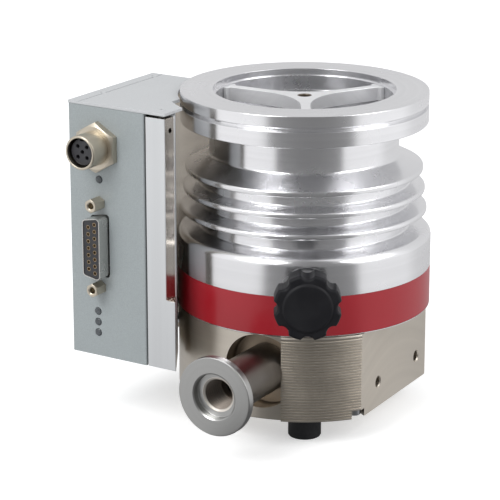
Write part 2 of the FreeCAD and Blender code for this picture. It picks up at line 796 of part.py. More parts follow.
# Base: turned block with a flat side, a ridged sector, the port's pocket, the motor tower and the oil well
base_turned = turned("base_turned", [
    ("shaft_hole_radius", "-tower_floor"),
    ("motor_bore_radius", "-tower_floor"),
    ("motor_bore_radius", "-tower_top"),
    ("tower_radius", "-tower_top"),
    ("tower_radius", "-channel_bottom"),
    ("channel_outer", "-channel_bottom"),
    ("channel_outer", "-base_top + spigot_height"),
    ("stack_radius - fit_gap", "-base_top + spigot_height"),
    ("stack_radius - fit_gap", "-base_top - 2 * seal_cord + seal_room"),
    ("base_seal_circle + seal_cord + seal_room", "-base_top - 2 * seal_cord + seal_room"),
    ("base_seal_circle + seal_cord + seal_room", "-base_top"),
    ("base_radius", "-base_top"),
    ("base_radius", "-base_bottom"),
    ("cap_thread_radius + fit_gap", "-base_bottom"),
    ("cap_thread_radius + fit_gap", "-cap_thread_top"),
    ("bearing_pocket_radius", "-cap_thread_top"),
    ("bearing_pocket_radius", "-bearing_pocket_top"),
    ("shaft_hole_radius", "-bearing_pocket_top")])
pocket_tool = at_port(turned("pocket_tool", [
    ("pocket_floor", "0"), ("pocket_floor", "pocket_radius"),
    ("2 * base_radius", "pocket_radius"), ("2 * base_radius", "0")], "H_Axis"))
RIDGES = 29
ridge_points = [("base_radius - 6", "-base_bottom"), ("ridged_radius", "-base_bottom")]
for i in range(RIDGES):
    low = "-base_bottom + %d * ridge_pitch" % i
    ridge_points.append(("ridged_radius", low + " + 0.55 * ridge_pitch"))
    ridge_points.append(("ridged_radius - ridge_depth", low + " + 0.8 * ridge_pitch"))
    if i + 1 < RIDGES:
        ridge_points.append(("ridged_radius", low + " + ridge_pitch"))
ridge_points += [("ridged_radius", "-base_top"), ("base_radius - 6", "-base_top")]
ridged_sector = turned("ridged_sector", ridge_points)
doc.recompute()
tie(ridged_sector.Tip, Angle="ridged_end - ridged_start")
turn_to(ridged_sector, "ridged_start + 360")
flat_side = turn_to(group("flat_side", [block(
    "flat_block", "flat_distance", "-2 * base_radius", "-base_bottom - 1", "base_radius",
    "4 * base_radius", "base_bottom - base_top + 2")]), "flat_azimuth + 360")
side_holes = []
for i, side in enumerate(("-", "+")):
    side_holes.append(lying("side_hole_%d" % i, "side_hole_radius", "side_hole_depth + 1",
                            "flat_distance - side_hole_depth",
                            "side_hole_shift %s side_hole_spacing / 2" % side, "-side_hole_level"))
side_drilling = turn_to(group("side_drilling", side_holes), "flat_azimuth + 360")
port_hole = at_port(turned("port_hole", [
    ("tower_radius + 1", "0"), ("tower_radius + 1", "port_bore_radius"),
    ("pocket_floor - port_spigot_length - 0.3", "port_bore_radius"),
    ("pocket_floor - port_spigot_length - 0.3", "port_spigot_radius + fit_gap"),
    ("pocket_floor - port_seal_depth", "port_spigot_radius + fit_gap"),
    ("pocket_floor - port_seal_depth", "port_spigot_radius + 2 * seal_cord + seal_room"),
    ("pocket_floor + 1", "port_spigot_radius + 2 * seal_cord + seal_room"),
    ("pocket_floor + 1", "0")], "H_Axis"))
port_screw_hole = at_port(group("port_screw_hole", [lying(
    "port_screw_bore", "port_screw_radius + fit_gap", "5", "pocket_floor - 4", "0", "-port_screw_drop")]))
base_drills = []
for i in range(SCREWS):
    notch = block("notch_%d" % i, "screw_circle - screw_head_radius - 0.4", "-notch_half_width",
                  "-base_bottom - 1", "base_radius", "2 * notch_half_width", "notch_height + 1")
    drill = cylinder("drill_%d" % i, "screw_radius + 0.1", "base_bottom - base_top + 2", "screw_circle", "0",
                     "-base_bottom - 1")
    base_drills.append(turn_to(group("notch_and_drill_%d" % i, [notch, drill]),
                               "screw_azimuth + %d" % (90 * (i + 1))))
FEET = 3
for i in range(FEET):
    base_drills.append(cylinder("foot_tap_%d" % i, "foot_bore + fit_gap", "foot_screw_grip + 1",
                                "foot_circle * cos(%d * 1deg)" % (120 * i - 90),
                                "foot_circle * sin(%d * 1deg)" % (120 * i - 90), "-base_bottom - 1"))
bracket_taps = []
for i, side in enumerate(("-", "+")):
    bracket_taps.append(turn_to(group("bracket_tap_%d" % i, [lying(
        "bracket_tap_bore_%d" % i, "bracket_screw_radius + fit_gap", "base_radius", "base_radius - 8", "0",
        "-bracket_screw_level")]), "bracket_screw_azimuth %s bracket_screw_spread / 2" % side))
pocket_beside = less("pocket_beside", pocket_tool, ridged_sector)
base_solid = less("base_solid", together("base_whole", base_turned, ridged_sector), pocket_beside)
base_housing = less("base_housing", base_solid, flat_side, side_drilling, port_hole, port_screw_hole,
                    *base_drills, *bracket_taps)

# Seal between base and housing, and the screws that hold the two together from below
base_seal = doc.addObject("Part::Torus", "base_seal")
base_seal.Label = "base_seal"
tie(base_seal, Radius1="base_seal_circle", Radius2="seal_cord", Placement__Base__z="-base_top - seal_cord + seal_room + fit_gap")
screws = []
for i in range(SCREWS):
    head = cylinder("base_screw_head_%d" % i, "screw_head_radius", "screw_head_height", "screw_circle", "0",
                    "-base_bottom + notch_height - screw_head_height")
    shank = cylinder("base_screw_shank_%d" % i, "screw_radius", "base_bottom - notch_height - screw_top",
                     "screw_circle", "0", "-base_bottom + notch_height")
    socket = prism("base_screw_socket_%d" % i, "screw_radius * 1.5", "screw_head_height * 0.6", "screw_circle", "0",
                   "-base_bottom + notch_height - screw_head_height")
    whole = less("base_screw_%d" % i, together("base_screw_solid_%d" % i, head, shank), socket)
    screws.append(turn_to(group("base_screw_set_%d" % i, [whole]), "screw_azimuth + %d" % (90 * (i + 1))))
base_screws = group("base_screws", screws)

# Motor: a slotted core in the tower, its winding through the slots, and the rotor's magnet
TEETH = 6
core_ring = ring("core_ring", "core_bore", "motor_bore_radius - fit_gap", "core_top", "core_bottom")
slots = []
bars = []
for i in range(TEETH):
    slots.append(turn_to(group("slot_%d" % i, [block(
        "slot_cut_%d" % i, "slot_inner", "-slot_width / 2", "-core_bottom - 1", "slot_outer - slot_inner",
        "slot_width", "core_bottom - core_top + 2")]), str(60 * i)))
    bars.append(turn_to(group("bar_%d" % i, [block(
        "bar_block_%d" % i, "slot_inner + 2 * coil_gap", "-slot_width / 2 + coil_gap", "-core_bottom - 2 * coil_gap",
        "slot_outer - slot_inner - 3 * coil_gap", "slot_width - 2 * coil_gap",
        "core_bottom - core_top + 4 * coil_gap")]), str(60 * i)))
motor_core = less("motor_core", core_ring, *slots)
heads = []
for i, (near, far) in enumerate((("core_bottom + coil_gap", "core_bottom + coil_gap + 2 * coil_rise"),
                                 ("core_top - coil_gap - coil_rise", "core_top - coil_gap"))):
    heads.append(ring("coil_head_%d" % i, "slot_inner + coil_gap", "slot_outer + 1.2", near, far))
motor_windings = together("motor_windings", *heads, *bars)
ring("motor_magnet", "magnet_seat_radius + fit_gap", "motor_magnet_radius", "motor_magnet_top",
     "motor_magnet_bottom")

# Lower bearing: two grooved races, balls in a cage, and the holder that sits in the base
BALLS = 7


def race(label, rim, shoulder):
    """One grooved bearing ring between two radii."""
    middle = "-bearing_top - bearing_height / 2"
    made = ring(label + "_blank", rim, shoulder, "bearing_top", "bearing_top + bearing_height")
    groove_ring = doc.addObject("Part::Torus", label + "_groove")
    tie(groove_ring, Radius1="ball_circle", Radius2="ball_radius + ball_gap", Placement__Base__z=middle)
    return less(label, made, groove_ring)


bearing_inner_ring = race("bearing_inner_ring", "bearing_seat_radius + fit_gap", "race_inner")
bearing_outer_ring = race("bearing_outer_ring", "race_outer", "bearing_radius")
balls = []
pockets = []
for i in range(BALLS):
    angle = "%g * 1deg" % (360 * i / BALLS)
    spot_x = "ball_circle * cos(%s)" % angle
    spot_y = "ball_circle * sin(%s)" % angle
    ball = doc.addObject("Part::Sphere", "bearing_ball_%d" % i)
    balls.append(tie(ball, Radius="ball_radius", Placement__Base__x=spot_x, Placement__Base__y=spot_y,
                     Placement__Base__z="-bearing_top - bearing_height / 2"))
    pocket = lying("ball_pocket_%d" % i, "ball_radius + 2 * ball_gap", "2 * ball_radius",
                   "ball_circle - ball_radius", "0", "-bearing_top - bearing_height / 2")
    pockets.append(turn_to(group("ball_pocket_set_%d" % i, [pocket]), "%g" % (360 * i / BALLS)))
bearing_balls = group("bearing_balls", balls)
cage_ring = ring("cage_ring", "ball_circle - cage_half_wall", "ball_circle + cage_half_wall",
                 "bearing_top + (bearing_height - cage_height) / 2",
                 "bearing_top + (bearing_height + cage_height) / 2")
bearing_cage = less("bearing_cage", cage_ring, *pockets)
bearing_holder = turned("bearing_holder", [
    ("bearing_radius + fit_gap", "-bearing_top - bearing_height"),
    ("holder_radius", "-bearing_top - bearing_height"),
    ("holder_radius", "-bearing_pocket_top"),
    ("bearing_radius - 1.2", "-bearing_pocket_top"),
    ("bearing_radius - 1.2", "-bearing_top + 0.2"),
    ("bearing_radius + fit_gap", "-bearing_top + 0.2")])

# Oil system: a conical nut on the shaft, felt pads round it, and the cap that closes the well from below
shaft_nut = turned("shaft_nut", [
    ("nut_thread_radius + fit_gap", "-bearing_top - bearing_height"),
    ("nut_radius", "-bearing_top - bearing_height"),
    ("nut_radius", "-felt_top + 0.4"),
    ("nut_tip_radius", "-nut_bottom"),
    ("0", "-nut_bottom"),
    ("0", "-nut_bottom + 1.8"),
    ("nut_thread_radius + fit_gap", "-nut_bottom + 1.8")])
PADS = 2
felt_pads = []
for i in range(PADS):
    top = "felt_top + %d * (felt_bottom - felt_top) / %d" % (i, PADS)
    bottom = "felt_top + %d * (felt_bottom - felt_top) / %d" % (i + 1, PADS)
    felt_pads.append(ring("felt_pad_%d" % i, "nut_radius + nut_clearance", "felt_radius", top, bottom))
oil_felt = group("oil_felt", felt_pads)
reservoir_cap = turned("reservoir_cap", [
    ("0", "-felt_bottom - 0.9"),
    ("cap_thread_radius - 2.6", "-felt_bottom - 0.9"),
    ("cap_thread_radius - 2.6", "-cap_thread_top - 2 * seal_cord - 0.1"),
    ("cap_thread_radius", "-cap_thread_top - 2 * seal_cord - 0.1"),
    ("cap_thread_radius", "-base_bottom + 0.3"),
    ("0", "-base_bottom + 0.3")])
cap_slot = sketch(reservoir_cap, "XY_Plane", "-base_bottom + 0.3")
outline(cap_slot, [("-cap_thread_radius + 3", "-1"), ("cap_thread_radius - 3", "-1"),
                   ("cap_thread_radius - 3", "1"), ("-cap_thread_radius + 3", "1")])
cut(reservoir_cap, cap_slot, "1.6", True)
cap_seal = doc.addObject("Part::Torus", "cap_seal")
cap_seal.Label = "cap_seal"
tie(cap_seal, Radius1="cap_thread_radius - 1.6", Radius2="seal_cord",
    Placement__Base__z="-cap_thread_top - seal_cord - 0.05")

# Foreline port: small vacuum flange with a threaded bore, on a tube with a narrower neck
foreline_port = at_port(turned("foreline_port", [
    ("pocket_floor - port_spigot_length", "port_bore_radius"),
    ("pocket_floor - port_spigot_length", "port_spigot_radius"),
    ("pocket_floor + fit_gap", "port_spigot_radius"),
    ("pocket_floor + fit_gap", "port_neck_radius"),
    ("port_tube_start", "port_neck_radius"),
    ("port_tube_start + 1", "port_tube_radius"),
    ("port_face - port_rim - port_taper", "port_tube_radius"),
    ("port_face - port_rim", "port_flange_radius"),
    ("port_face", "port_flange_radius"),
    ("port_face", "port_recess_radius"),
    ("port_face - port_recess_depth", "port_recess_radius"),
    ("port_face - port_recess_depth", "port_thread_radius + 0.8"),
    ("port_face - port_recess_depth - 0.8", "port_thread_radius"),
    ("port_face - port_recess_depth - port_thread_depth", "port_thread_radius"),
    ("port_face - port_recess_depth - port_thread_depth", "port_bore_radius")], "H_Axis"))
port_seal_ring = doc.addObject("Part::Torus", "port_seal_ring")
tie(port_seal_ring, Radius1="port_spigot_radius + seal_cord + seal_room / 2",
    Radius2="seal_cord - seal_room / 2", Placement__Base__x="pocket_floor - port_seal_depth / 2")
port_seal_ring.Placement = FreeCAD.Placement(port_seal_ring.Placement.Base,
                                             FreeCAD.Rotation(FreeCAD.Vector(0, 1, 0), 90))
port_seal = at_port(group("port_seal", [port_seal_ring]))
port_screw_shank = lying("port_screw_shank", "port_screw_radius", "3.6", "pocket_floor - 3.6", "0",
                         "-port_screw_drop")
port_screw_socket = lying("port_screw_socket", "port_screw_radius * 0.5", "1.4", "pocket_floor - 1.4", "0",
                          "-port_screw_drop")
port_screw = at_port(less("port_screw", port_screw_shank, port_screw_socket))

# Vent valve: a body screwed into the housing, with a seal on a spindle that the knob winds out
vent_body = at_vent(turned("vent_body", [
    ("stack_radius + 1.5", "vent_hole_radius"),
    ("stack_radius + 1.5", "vent_thread_radius"),
    ("vent_spot_floor + fit_gap", "vent_thread_radius"),
    ("vent_spot_floor + fit_gap", "vent_body_radius"),
    ("vent_body_front - 0.8", "vent_body_radius"),
    ("vent_body_front", "vent_body_radius - 0.8"),
    ("vent_body_front", "spindle_thread_radius + spindle_gap"),
    ("vent_body_front - 5", "spindle_thread_radius + spindle_gap"),
    ("vent_body_front - 5", "vent_chamber_radius"),
    ("stack_radius + 4.5", "vent_chamber_radius"),
    ("stack_radius + 4.5", "vent_hole_radius")], "H_Axis"))
vent_seal = at_vent(turned("vent_seal", [
    ("stack_radius + 4.8", "0"),
    ("stack_radius + 4.8", "vent_seal_radius"),
    ("stack_radius + 4.8 + vent_seal_height", "vent_seal_radius"),
    ("stack_radius + 4.8 + vent_seal_height", "0")], "H_Axis"))
vent_spindle = at_vent(turned("vent_spindle", [
    ("stack_radius + 5 + vent_seal_height", "0"),
    ("stack_radius + 5 + vent_seal_height", "spindle_radius"),
    ("vent_body_front - 7.6", "spindle_radius"),
    ("vent_body_front - 7.6", "spindle_thread_radius"),
    ("knob_face - 5", "spindle_thread_radius"),
    ("knob_face - 5", "0")], "H_Axis"))
knob_turned = turned("knob_turned", [
    ("knob_face - knob_depth", "spindle_thread_radius + fit_gap"),
    ("knob_face - knob_depth", "knob_radius - 2.2"),
    ("knob_face - knob_depth + 2.2", "knob_radius"),
    ("knob_face - knob_rise - knob_edge", "knob_radius"),
    ("knob_face - knob_rise", "knob_radius - knob_edge"),
    ("knob_face - knob_rise", "knob_rise_radius"),
    ("knob_face", "knob_rise_radius - knob_rise"),
    ("knob_face", "0"),
    ("knob_face - 5 + fit_gap", "0"),
    ("knob_face - 5 + fit_gap", "spindle_thread_radius + fit_gap")], "H_Axis")
SCALLOPS = 8
scallop_cuts = []
for i in range(SCALLOPS):
    angle = "%d * 1deg" % (45 * i)
    scallop_cuts.append(lying("scallop_%d" % i, "knob_scallop_radius", "2 * knob_depth", "knob_face - 1.5 * knob_depth",
                              "knob_scallop_distance * cos(%s)" % angle,
                              "knob_scallop_distance * sin(%s)" % angle))
vent_knob = at_vent(less("vent_knob", knob_turned, *scallop_cuts))

# Feet: rubber pads with sunk screws up into the base
feet = []
foot_screws_made = []
for i in range(FEET):
    spot_x = "foot_circle * cos(%d * 1deg)" % (120 * i - 90)
    spot_y = "foot_circle * sin(%d * 1deg)" % (120 * i - 90)
    pad = turned("foot_%d" % i, [
        ("foot_bore + 0.1", "-base_bottom - foot_height + foot_screw_sink"),
        ("foot_screw_head + 0.2", "-base_bottom - foot_height + foot_screw_sink"),
        ("foot_screw_head + 0.2", "-base_bottom - foot_height"),
        ("foot_radius - foot_edge", "-base_bottom - foot_height"),
        ("foot_radius", "-base_bottom - foot_height + foot_edge"),
        ("foot_radius", "-base_bottom"),
        ("foot_bore + 0.1", "-base_bottom")])
    feet.append(tie(pad, Placement__Base__x=spot_x, Placement__Base__y=spot_y))
    screw = turned("foot_screw_%d" % i, [
        ("0", "-base_bottom - foot_height + foot_screw_sink - 2.4"),
        ("foot_screw_head", "-base_bottom - foot_height + foot_screw_sink - 2.4"),
        ("foot_screw_head", "-base_bottom - foot_height + foot_screw_sink"),
        ("foot_bore", "-base_bottom - foot_height + foot_screw_sink"),
        ("foot_bore", "-base_bottom + foot_screw_grip - 0.4"),
        ("0", "-base_bottom + foot_screw_grip - 0.4")])
    foot_screws_made.append(tie(screw, Placement__Base__x=spot_x, Placement__Base__y=spot_y))
rubber_feet = group("rubber_feet", feet)
foot_screws = group("foot_screws", foot_screws_made)

# Controller bracket: a block beside the panel and a wall that follows the pump, square to the panel
under_cover = "-case_top - cover_thickness - joint_gap"
bracket_left = "-case_left + panel_width + joint_gap"
bracket_right = "-case_left + panel_width + bracket_width"
case_back = "-case_front + case_depth"
upper_clear = "body_radius + bracket_clearance"
bracket_block = block("bracket_block", bracket_left, "-case_front", "-case_bottom",
                      "bracket_width - joint_gap", "bracket_block_depth + 8", "case_bottom + (%s)" % under_cover)
bracket_foot = block("bracket_foot", bracket_left, "-case_front", "-case_bottom",
                     "bracket_width + bracket_foot_width - joint_gap", "bracket_block_depth + 8",
                     "case_bottom - bracket_step_level")
wall_round = cylinder("wall_round", upper_clear + " + bracket_wall",
                      "case_bottom + (%s)" % under_cover, z="-case_bottom")
wall_area = block("wall_area", "-case_left + 2", "-case_front + bracket_block_depth", "-case_bottom",
                  "panel_width + joint_gap - 2 + 1", "case_depth - bracket_block_depth",
                  "case_bottom + (%s)" % under_cover)
bracket_curve = shared("bracket_curve", wall_round, turn_to(group("wall_area_turned", [wall_area]), "0"))
upper_room = cylinder("upper_room", upper_clear, "bracket_step_level + 1", z="-bracket_step_level")
lower_room = cylinder("lower_room", "body_radius + seat_gap", "case_bottom + 1", z="-case_bottom - 1")
lower_hug = cylinder("lower_hug", "ridged_radius + seat_gap", "case_bottom - bracket_step_level + 1",
                     z="-case_bottom - 1")
cover_spots = (("-case_left + 4", "-case_front + 16"), ("-case_left + 4", "%s - 6" % case_back),
               (bracket_right + " - 4.4", "-case_front + 4.5"))
bracket_drills = [cylinder("cover_tap", "cover_screw_radius + fit_gap", "cover_screw_length + 1",
                           *cover_spots[2], "-case_top - cover_screw_length - 0.5")]
for i, side in enumerate(("-", "+")):
    shank_way = lying("shank_way_%d" % i, "bracket_screw_radius + 0.1", "base_radius", "base_radius - 4", "0",
                      "-bracket_screw_level")
    bracket_drills.append(turn_to(group("shank_way_set_%d" % i, [shank_way]),
                                  "controller_yaw + bracket_screw_azimuth %s bracket_screw_spread / 2" % side))
controller_bracket = at_case(less("controller_bracket",
                                  together("bracket_whole", bracket_block, bracket_foot, bracket_curve),
                                  upper_room, lower_room, lower_hug, *bracket_drills))
bracket_screw_set = []
for i, side in enumerate(("-", "+")):
    shank = lying("bracket_shank_%d" % i, "bracket_screw_radius", "bracket_wall + 9", "base_radius - 5", "0",
                  "-bracket_screw_level")
    head = lying("bracket_head_%d" % i, "bracket_screw_head", "2.6",
                 upper_clear + " + bracket_wall + fit_gap", "0", "-bracket_screw_level")
    bracket_screw_set.append(turn_to(together("bracket_screw_%d" % i, shank, head),
                                     "bracket_screw_azimuth %s bracket_screw_spread / 2" % side))
bracket_screws = group("bracket_screws", bracket_screw_set)

# Controller case: left wall, back wall and floor in one folded shell, open where panel, cover and bracket close it
case_outer = block("case_outer", "-case_left", "-case_front + panel_thickness + joint_gap", "-case_bottom",
                   "panel_width", "case_depth - panel_thickness - joint_gap", "case_bottom + (%s)" % under_cover)
case_inner = block("case_inner", "-case_left + case_wall", "-case_front", "-case_bottom + case_wall",
                   "panel_width", "case_depth - case_wall", "case_bottom")
case_round = cylinder("case_round", upper_clear + " + bracket_wall + joint_gap", "case_bottom + 2", z="-case_bottom - 1")
case_beside = block("case_beside", bracket_left + " - 2 * joint_gap", "-case_front", "-case_bottom - 1",
                    "bracket_width", "case_depth", "case_bottom + 2")
case_lip = block("case_lip", "-case_left + 0.5 * case_wall", "-case_front + panel_thickness + joint_gap",
                 under_cover + " - case_wall", "7", "case_depth - panel_thickness - joint_gap", "case_wall")
lip_taps = [cylinder("lip_tap_%d" % i, "cover_screw_radius + fit_gap", "cover_screw_length + 1", *spot,
                     "-case_top - cover_screw_length - 0.5") for i, spot in enumerate(cover_spots[:2])]
case_folded = together("case_folded", less("case_shell", case_outer, case_inner), case_lip)
controller_case = at_case(less("controller_case", case_folded, case_round, case_beside, *lip_taps))

# Front panel: a plate with rounded upright edges and the openings for sockets, jack screws and lights
panel_body = body("panel_body")
panel_face = sketch(panel_body, "XY_Plane", "-case_bottom")
outline(panel_face, [("-case_left", "-case_front"), ("-case_left + panel_width", "-case_front"),
                     ("-case_left + panel_width", "-case_front + panel_thickness"),
                     ("-case_left", "-case_front + panel_thickness")])
panel_pad = panel_body.newObject("PartDesign::Pad", "panel_pad")
panel_pad.Profile = panel_face
tie(panel_pad, Length="case_bottom + (%s)" % under_cover)
doc.recompute()
upright = []
for i, edge in enumerate(panel_pad.Shape.Edges):
    middle = edge.CenterOfMass
    along_z = abs(edge.Vertexes[0].Point.x - edge.Vertexes[-1].Point.x) < 0.01
    if along_z and edge.Length > SIZES["case_bottom"] / 2 and abs(middle.y + value("case_front")) < 0.01:
        upright.append("Edge%d" % (i + 1))
panel_fillet = panel_body.newObject("PartDesign::Fillet", "panel_fillet")
panel_fillet.Base = (panel_pad, upright)
tie(panel_fillet, Radius="panel_corner")
socket_line = "-case_left + connector_line"
socket_stem_radius = "(socket_radius - socket_stem_step)"


def facing(label, radius, length, back, across, level):
    """A cylinder square to the panel: its back end lies this far in front of the panel's face."""
    return lying(label, radius, length, across, "-case_front - (%s) - (%s)" % (back, length), level, (0, 1, 0))


def shell_outline(label, grow, back, length):
    """The slanted four-sided form of the data socket, grown by a wall, square to the panel."""
    made = body(label)
    drawn = sketch(made, "XZ_Plane", "case_front + (%s)" % back)
    half = "(data_length / 2 + (%s))" % grow
    side = "(data_width / 2 + (%s))" % grow
    slant = "data_width * tan(data_slant * 1deg)"
    outline(drawn, [(socket_line + " - " + side, "-data_level - %s + %s" % (half, slant)),
                    (socket_line + " + " + side, "-data_level - " + half),
                    (socket_line + " + " + side, "-data_level + " + half),
                    (socket_line + " - " + side, "-data_level + %s - %s" % (half, slant))])
    pad = made.newObject("PartDesign::Pad", label + "_pad")
    pad.Profile = drawn
    tie(pad, Length=length)
    return made


panel_holes = [
    facing("socket_hole", socket_stem_radius + " + 0.15", "2 * panel_thickness", "-1.5 * panel_thickness", socket_line,
           "-socket_level"),
    shell_outline("data_hole", "data_wall + 0.2", "-1.5 * panel_thickness", "2 * panel_thickness")]
for i, side in enumerate(("-", "+")):
    panel_holes.append(facing("jack_hole_%d" % i, "jack_stud_radius + 0.1", "2 * panel_thickness",
                              "-1.5 * panel_thickness", socket_line,
                              "-data_level %s jack_spacing / 2" % side))
light_levels = ["-top_light_level"] + ["-low_light_level - %d * low_light_pitch" % i for i in range(3)]
light_lines = [socket_line] + ["-case_left + light_line"] * 3
for i in range(4):
    panel_holes.append(facing("light_hole_%d" % i, "light_radius + 0.1", "2 * panel_thickness",
                              "-1.5 * panel_thickness", light_lines[i], light_levels[i]))
standoffs = []
for i, (across, level) in enumerate((("-case_left + 6", "-10"), ("-case_left + panel_width - 7", "-10"),
                                     ("-case_left + 6", "-case_bottom + 8"),
                                     ("-case_left + panel_width - 7", "-case_bottom + 8"))):
    standoffs.append(facing("standoff_%d" % i, "standoff_radius", "board_gap", "-panel_thickness - board_gap",
                            across, level))
controller_panel = at_case(less("controller_panel", together("panel_whole", panel_body, *standoffs), *panel_holes))

# Cover: the top plate over case and bracket, hollowed out round the inlet flange
cover_plate = block("cover_plate", "-case_left", "-case_front", "-case_top - cover_thickness",
                    "panel_width + bracket_width", "case_depth", "cover_thickness")
cover_room = cylinder("cover_room", upper_clear, "case_top + cover_thickness + 2", z="-case_top - cover_thickness - 1")
cover_screw_set = []
cover_ways = []
for i, (across, deep) in enumerate(cover_spots):
    cover_ways.append(cylinder("cover_way_%d" % i, "cover_screw_radius + 0.1", "cover_thickness + 2", across, deep,
                               "-case_top - cover_thickness - 1"))
    head = cylinder("cover_head_%d" % i, "cover_screw_head", "0.7", across, deep, "-case_top")
    shank = cylinder("cover_shank_%d" % i, "cover_screw_radius", "cover_screw_length", across, deep,
                     "-case_top - cover_screw_length")
    cover_screw_set.append(together("cover_screw_%d" % i, head, shank))
controller_cover = at_case(less("controller_cover", cover_plate, cover_room, *cover_ways))
cover_screws = at_case(group("cover_screws", cover_screw_set))

# Circuit board behind the panel on its four standoffs, with its larger components
board_front = "-case_front + panel_thickness + board_gap"
board_plate = block("board_plate", "-case_left + board_margin", board_front, "-case_bottom + board_margin",
                    "panel_width - 2 * board_margin", "board_thickness",
                    "case_bottom - 2 * board_margin + (%s)" % under_cover)
parts_on_board = [board_plate]
for i, (across, level, wide, high, deep) in enumerate((
        ("5", "22", "10", "10", "4"), ("18", "34", "9", "16", "6"), ("6", "58", "14", "14", "2"),
        ("21", "78", "7", "12", "5"))):
    parts_on_board.append(block("chip_%d" % i, "-case_left + " + across, board_front + " + board_thickness",
                                "-%s - %s" % (level, high), wide, deep, high))
for i in range(2):
    parts_on_board.append(lying("capacitor_%d" % i, "3.4", "11", "-case_left + %d" % (9 + 8 * i),
                                board_front + " + board_thickness", "-86", (0, 1, 0)))
circuit_board = at_case(group("circuit_board", parts_on_board))

# Round power socket: a threaded shell through the panel, its nut, and an insert with five holes
socket_stem = facing("socket_stem", socket_stem_radius, "hex_height + socket_behind", "-socket_behind",
                     socket_line, "-socket_level")
socket_front = facing("socket_front", "socket_radius", "socket_length - hex_height", "hex_height",
                      socket_line, "-socket_level")
socket_shell_solid = together("socket_shell_solid", socket_stem, socket_front)
socket_shell_bore = facing("socket_shell_bore", "socket_radius - socket_wall", "socket_length + socket_behind",
                           "-socket_behind + 1.5", socket_line, "-socket_level")
power_socket = at_case(less("power_socket", socket_shell_solid, socket_shell_bore))
insert_front = "socket_length - insert_sink"
insert_blank = facing("insert_blank", "socket_radius - socket_wall - insert_gap",
                      "%s + socket_behind - 1.5 - fit_gap" % insert_front, "-socket_behind + 1.5 + fit_gap", socket_line,
                      "-socket_level")
insert_cuts = [facing("contact_centre", "power_contact_radius", "4", insert_front + " - 3", socket_line,
                      "-socket_level")]
for i in range(4):
    angle = "%g * 1deg" % (45 + i * 90)
    insert_cuts.append(facing("contact_%d" % i, "power_contact_radius", "4", insert_front + " - 3",
                              "%s + contact_circle * cos(%s)" % (socket_line, angle),
                              "-socket_level + contact_circle * sin(%s)" % angle))
insert_cuts.append(facing("key_notch", "0.9", "6", insert_front + " - 5", socket_line,
                          "-socket_level + socket_radius - socket_wall - insert_gap"))
power_socket_insert = at_case(less("power_socket_insert", insert_blank, *insert_cuts))
nut_bar = prism("nut_bar", "hex_across", "hex_height")
nut_bore = cylinder("nut_bore", socket_stem_radius + " + fit_gap", "hex_height + 2", z="-1")
nut_flat = less("nut_flat", nut_bar, nut_bore)
nut_flat.Placement = FreeCAD.Placement(FreeCAD.Vector(0, 0, 0), FreeCAD.Rotation(FreeCAD.Vector(1, 0, 0), 90))
tie(nut_flat, Placement__Base__x=socket_line, Placement__Base__y="-case_front", Placement__Base__z="-socket_level")
power_socket_nut = at_case(group("power_socket_nut", [nut_flat]))

# Data socket: a slanted metal shell on a plate behind the panel, and an insert with fifteen holes
shell_solid = shell_outline("shell_solid", "0", "-panel_thickness - fit_gap", "data_projection + panel_thickness + fit_gap")
shell_hollow = shell_outline("shell_hollow", "-data_wall", "-panel_thickness - 3", "data_projection + panel_thickness + 9")
data_plate = block("data_plate", socket_line + " - data_plate_width / 2",
                   "-case_front + panel_thickness + fit_gap", "-data_level - data_plate_length / 2",
                   "data_plate_width", "data_plate_thickness", "data_plate_length")
data_bores = [facing("data_bore_%d" % i, "jack_stud_radius + 0.1", "4", "-panel_thickness - 2", socket_line,
                     "-data_level %s jack_spacing / 2" % side) for i, side in enumerate(("-", "+"))]
data_socket_shell = at_case(less("data_socket_shell", together("shell_and_plate", shell_solid, data_plate),
                                 shell_hollow, *data_bores))
insert_solid = shell_outline("insert_solid", "-data_wall - fit_gap", "-board_gap - panel_thickness + 0.3",
                             "data_projection - 0.3 + board_gap + panel_thickness - 0.3")
data_holes = []
for column, count, across in ((0, 8, "+"), (1, 7, "-")):
    for i in range(count):
        level = "-data_level + %g * data_pitch" % (i - (count - 1) / 2)
        data_holes.append(facing("data_contact_%d_%d" % (column, i), "contact_radius", "4", "data_projection - 3.5",
                                 "%s %s data_row_gap / 2" % (socket_line, across), level))
data_socket_insert = at_case(less("data_socket_insert", insert_solid, *data_holes))
jacks = []
for i, side in enumerate(("-", "+")):
    bar = prism("jack_bar_%d" % i, "jack_across", "jack_length")
    bore = cylinder("jack_bore_%d" % i, "jack_bore", "jack_length", z="1.5")
    stud = cylinder("jack_stud_%d" % i, "jack_stud_radius", "panel_thickness + 3", z="-panel_thickness - 3")
    jack = less("jack_%d" % i, together("jack_solid_%d" % i, bar, stud), bore)
    jack.Placement = FreeCAD.Placement(FreeCAD.Vector(0, 0, 0), FreeCAD.Rotation(FreeCAD.Vector(1, 0, 0), 90))
    jacks.append(tie(jack, Placement__Base__x=socket_line, Placement__Base__y="-case_front - fit_gap",
                     Placement__Base__z="-data_level %s jack_spacing / 2" % side))
jack_screws = at_case(group("jack_screws", jacks))
lights = [facing("light_%d" % i, "light_radius", "light_proud + panel_thickness + board_gap - 0.3",
                 "-panel_thickness - board_gap + 0.3", light_lines[i], light_levels[i]) for i in range(4)]
status_lights = at_case(group("status_lights", lights))

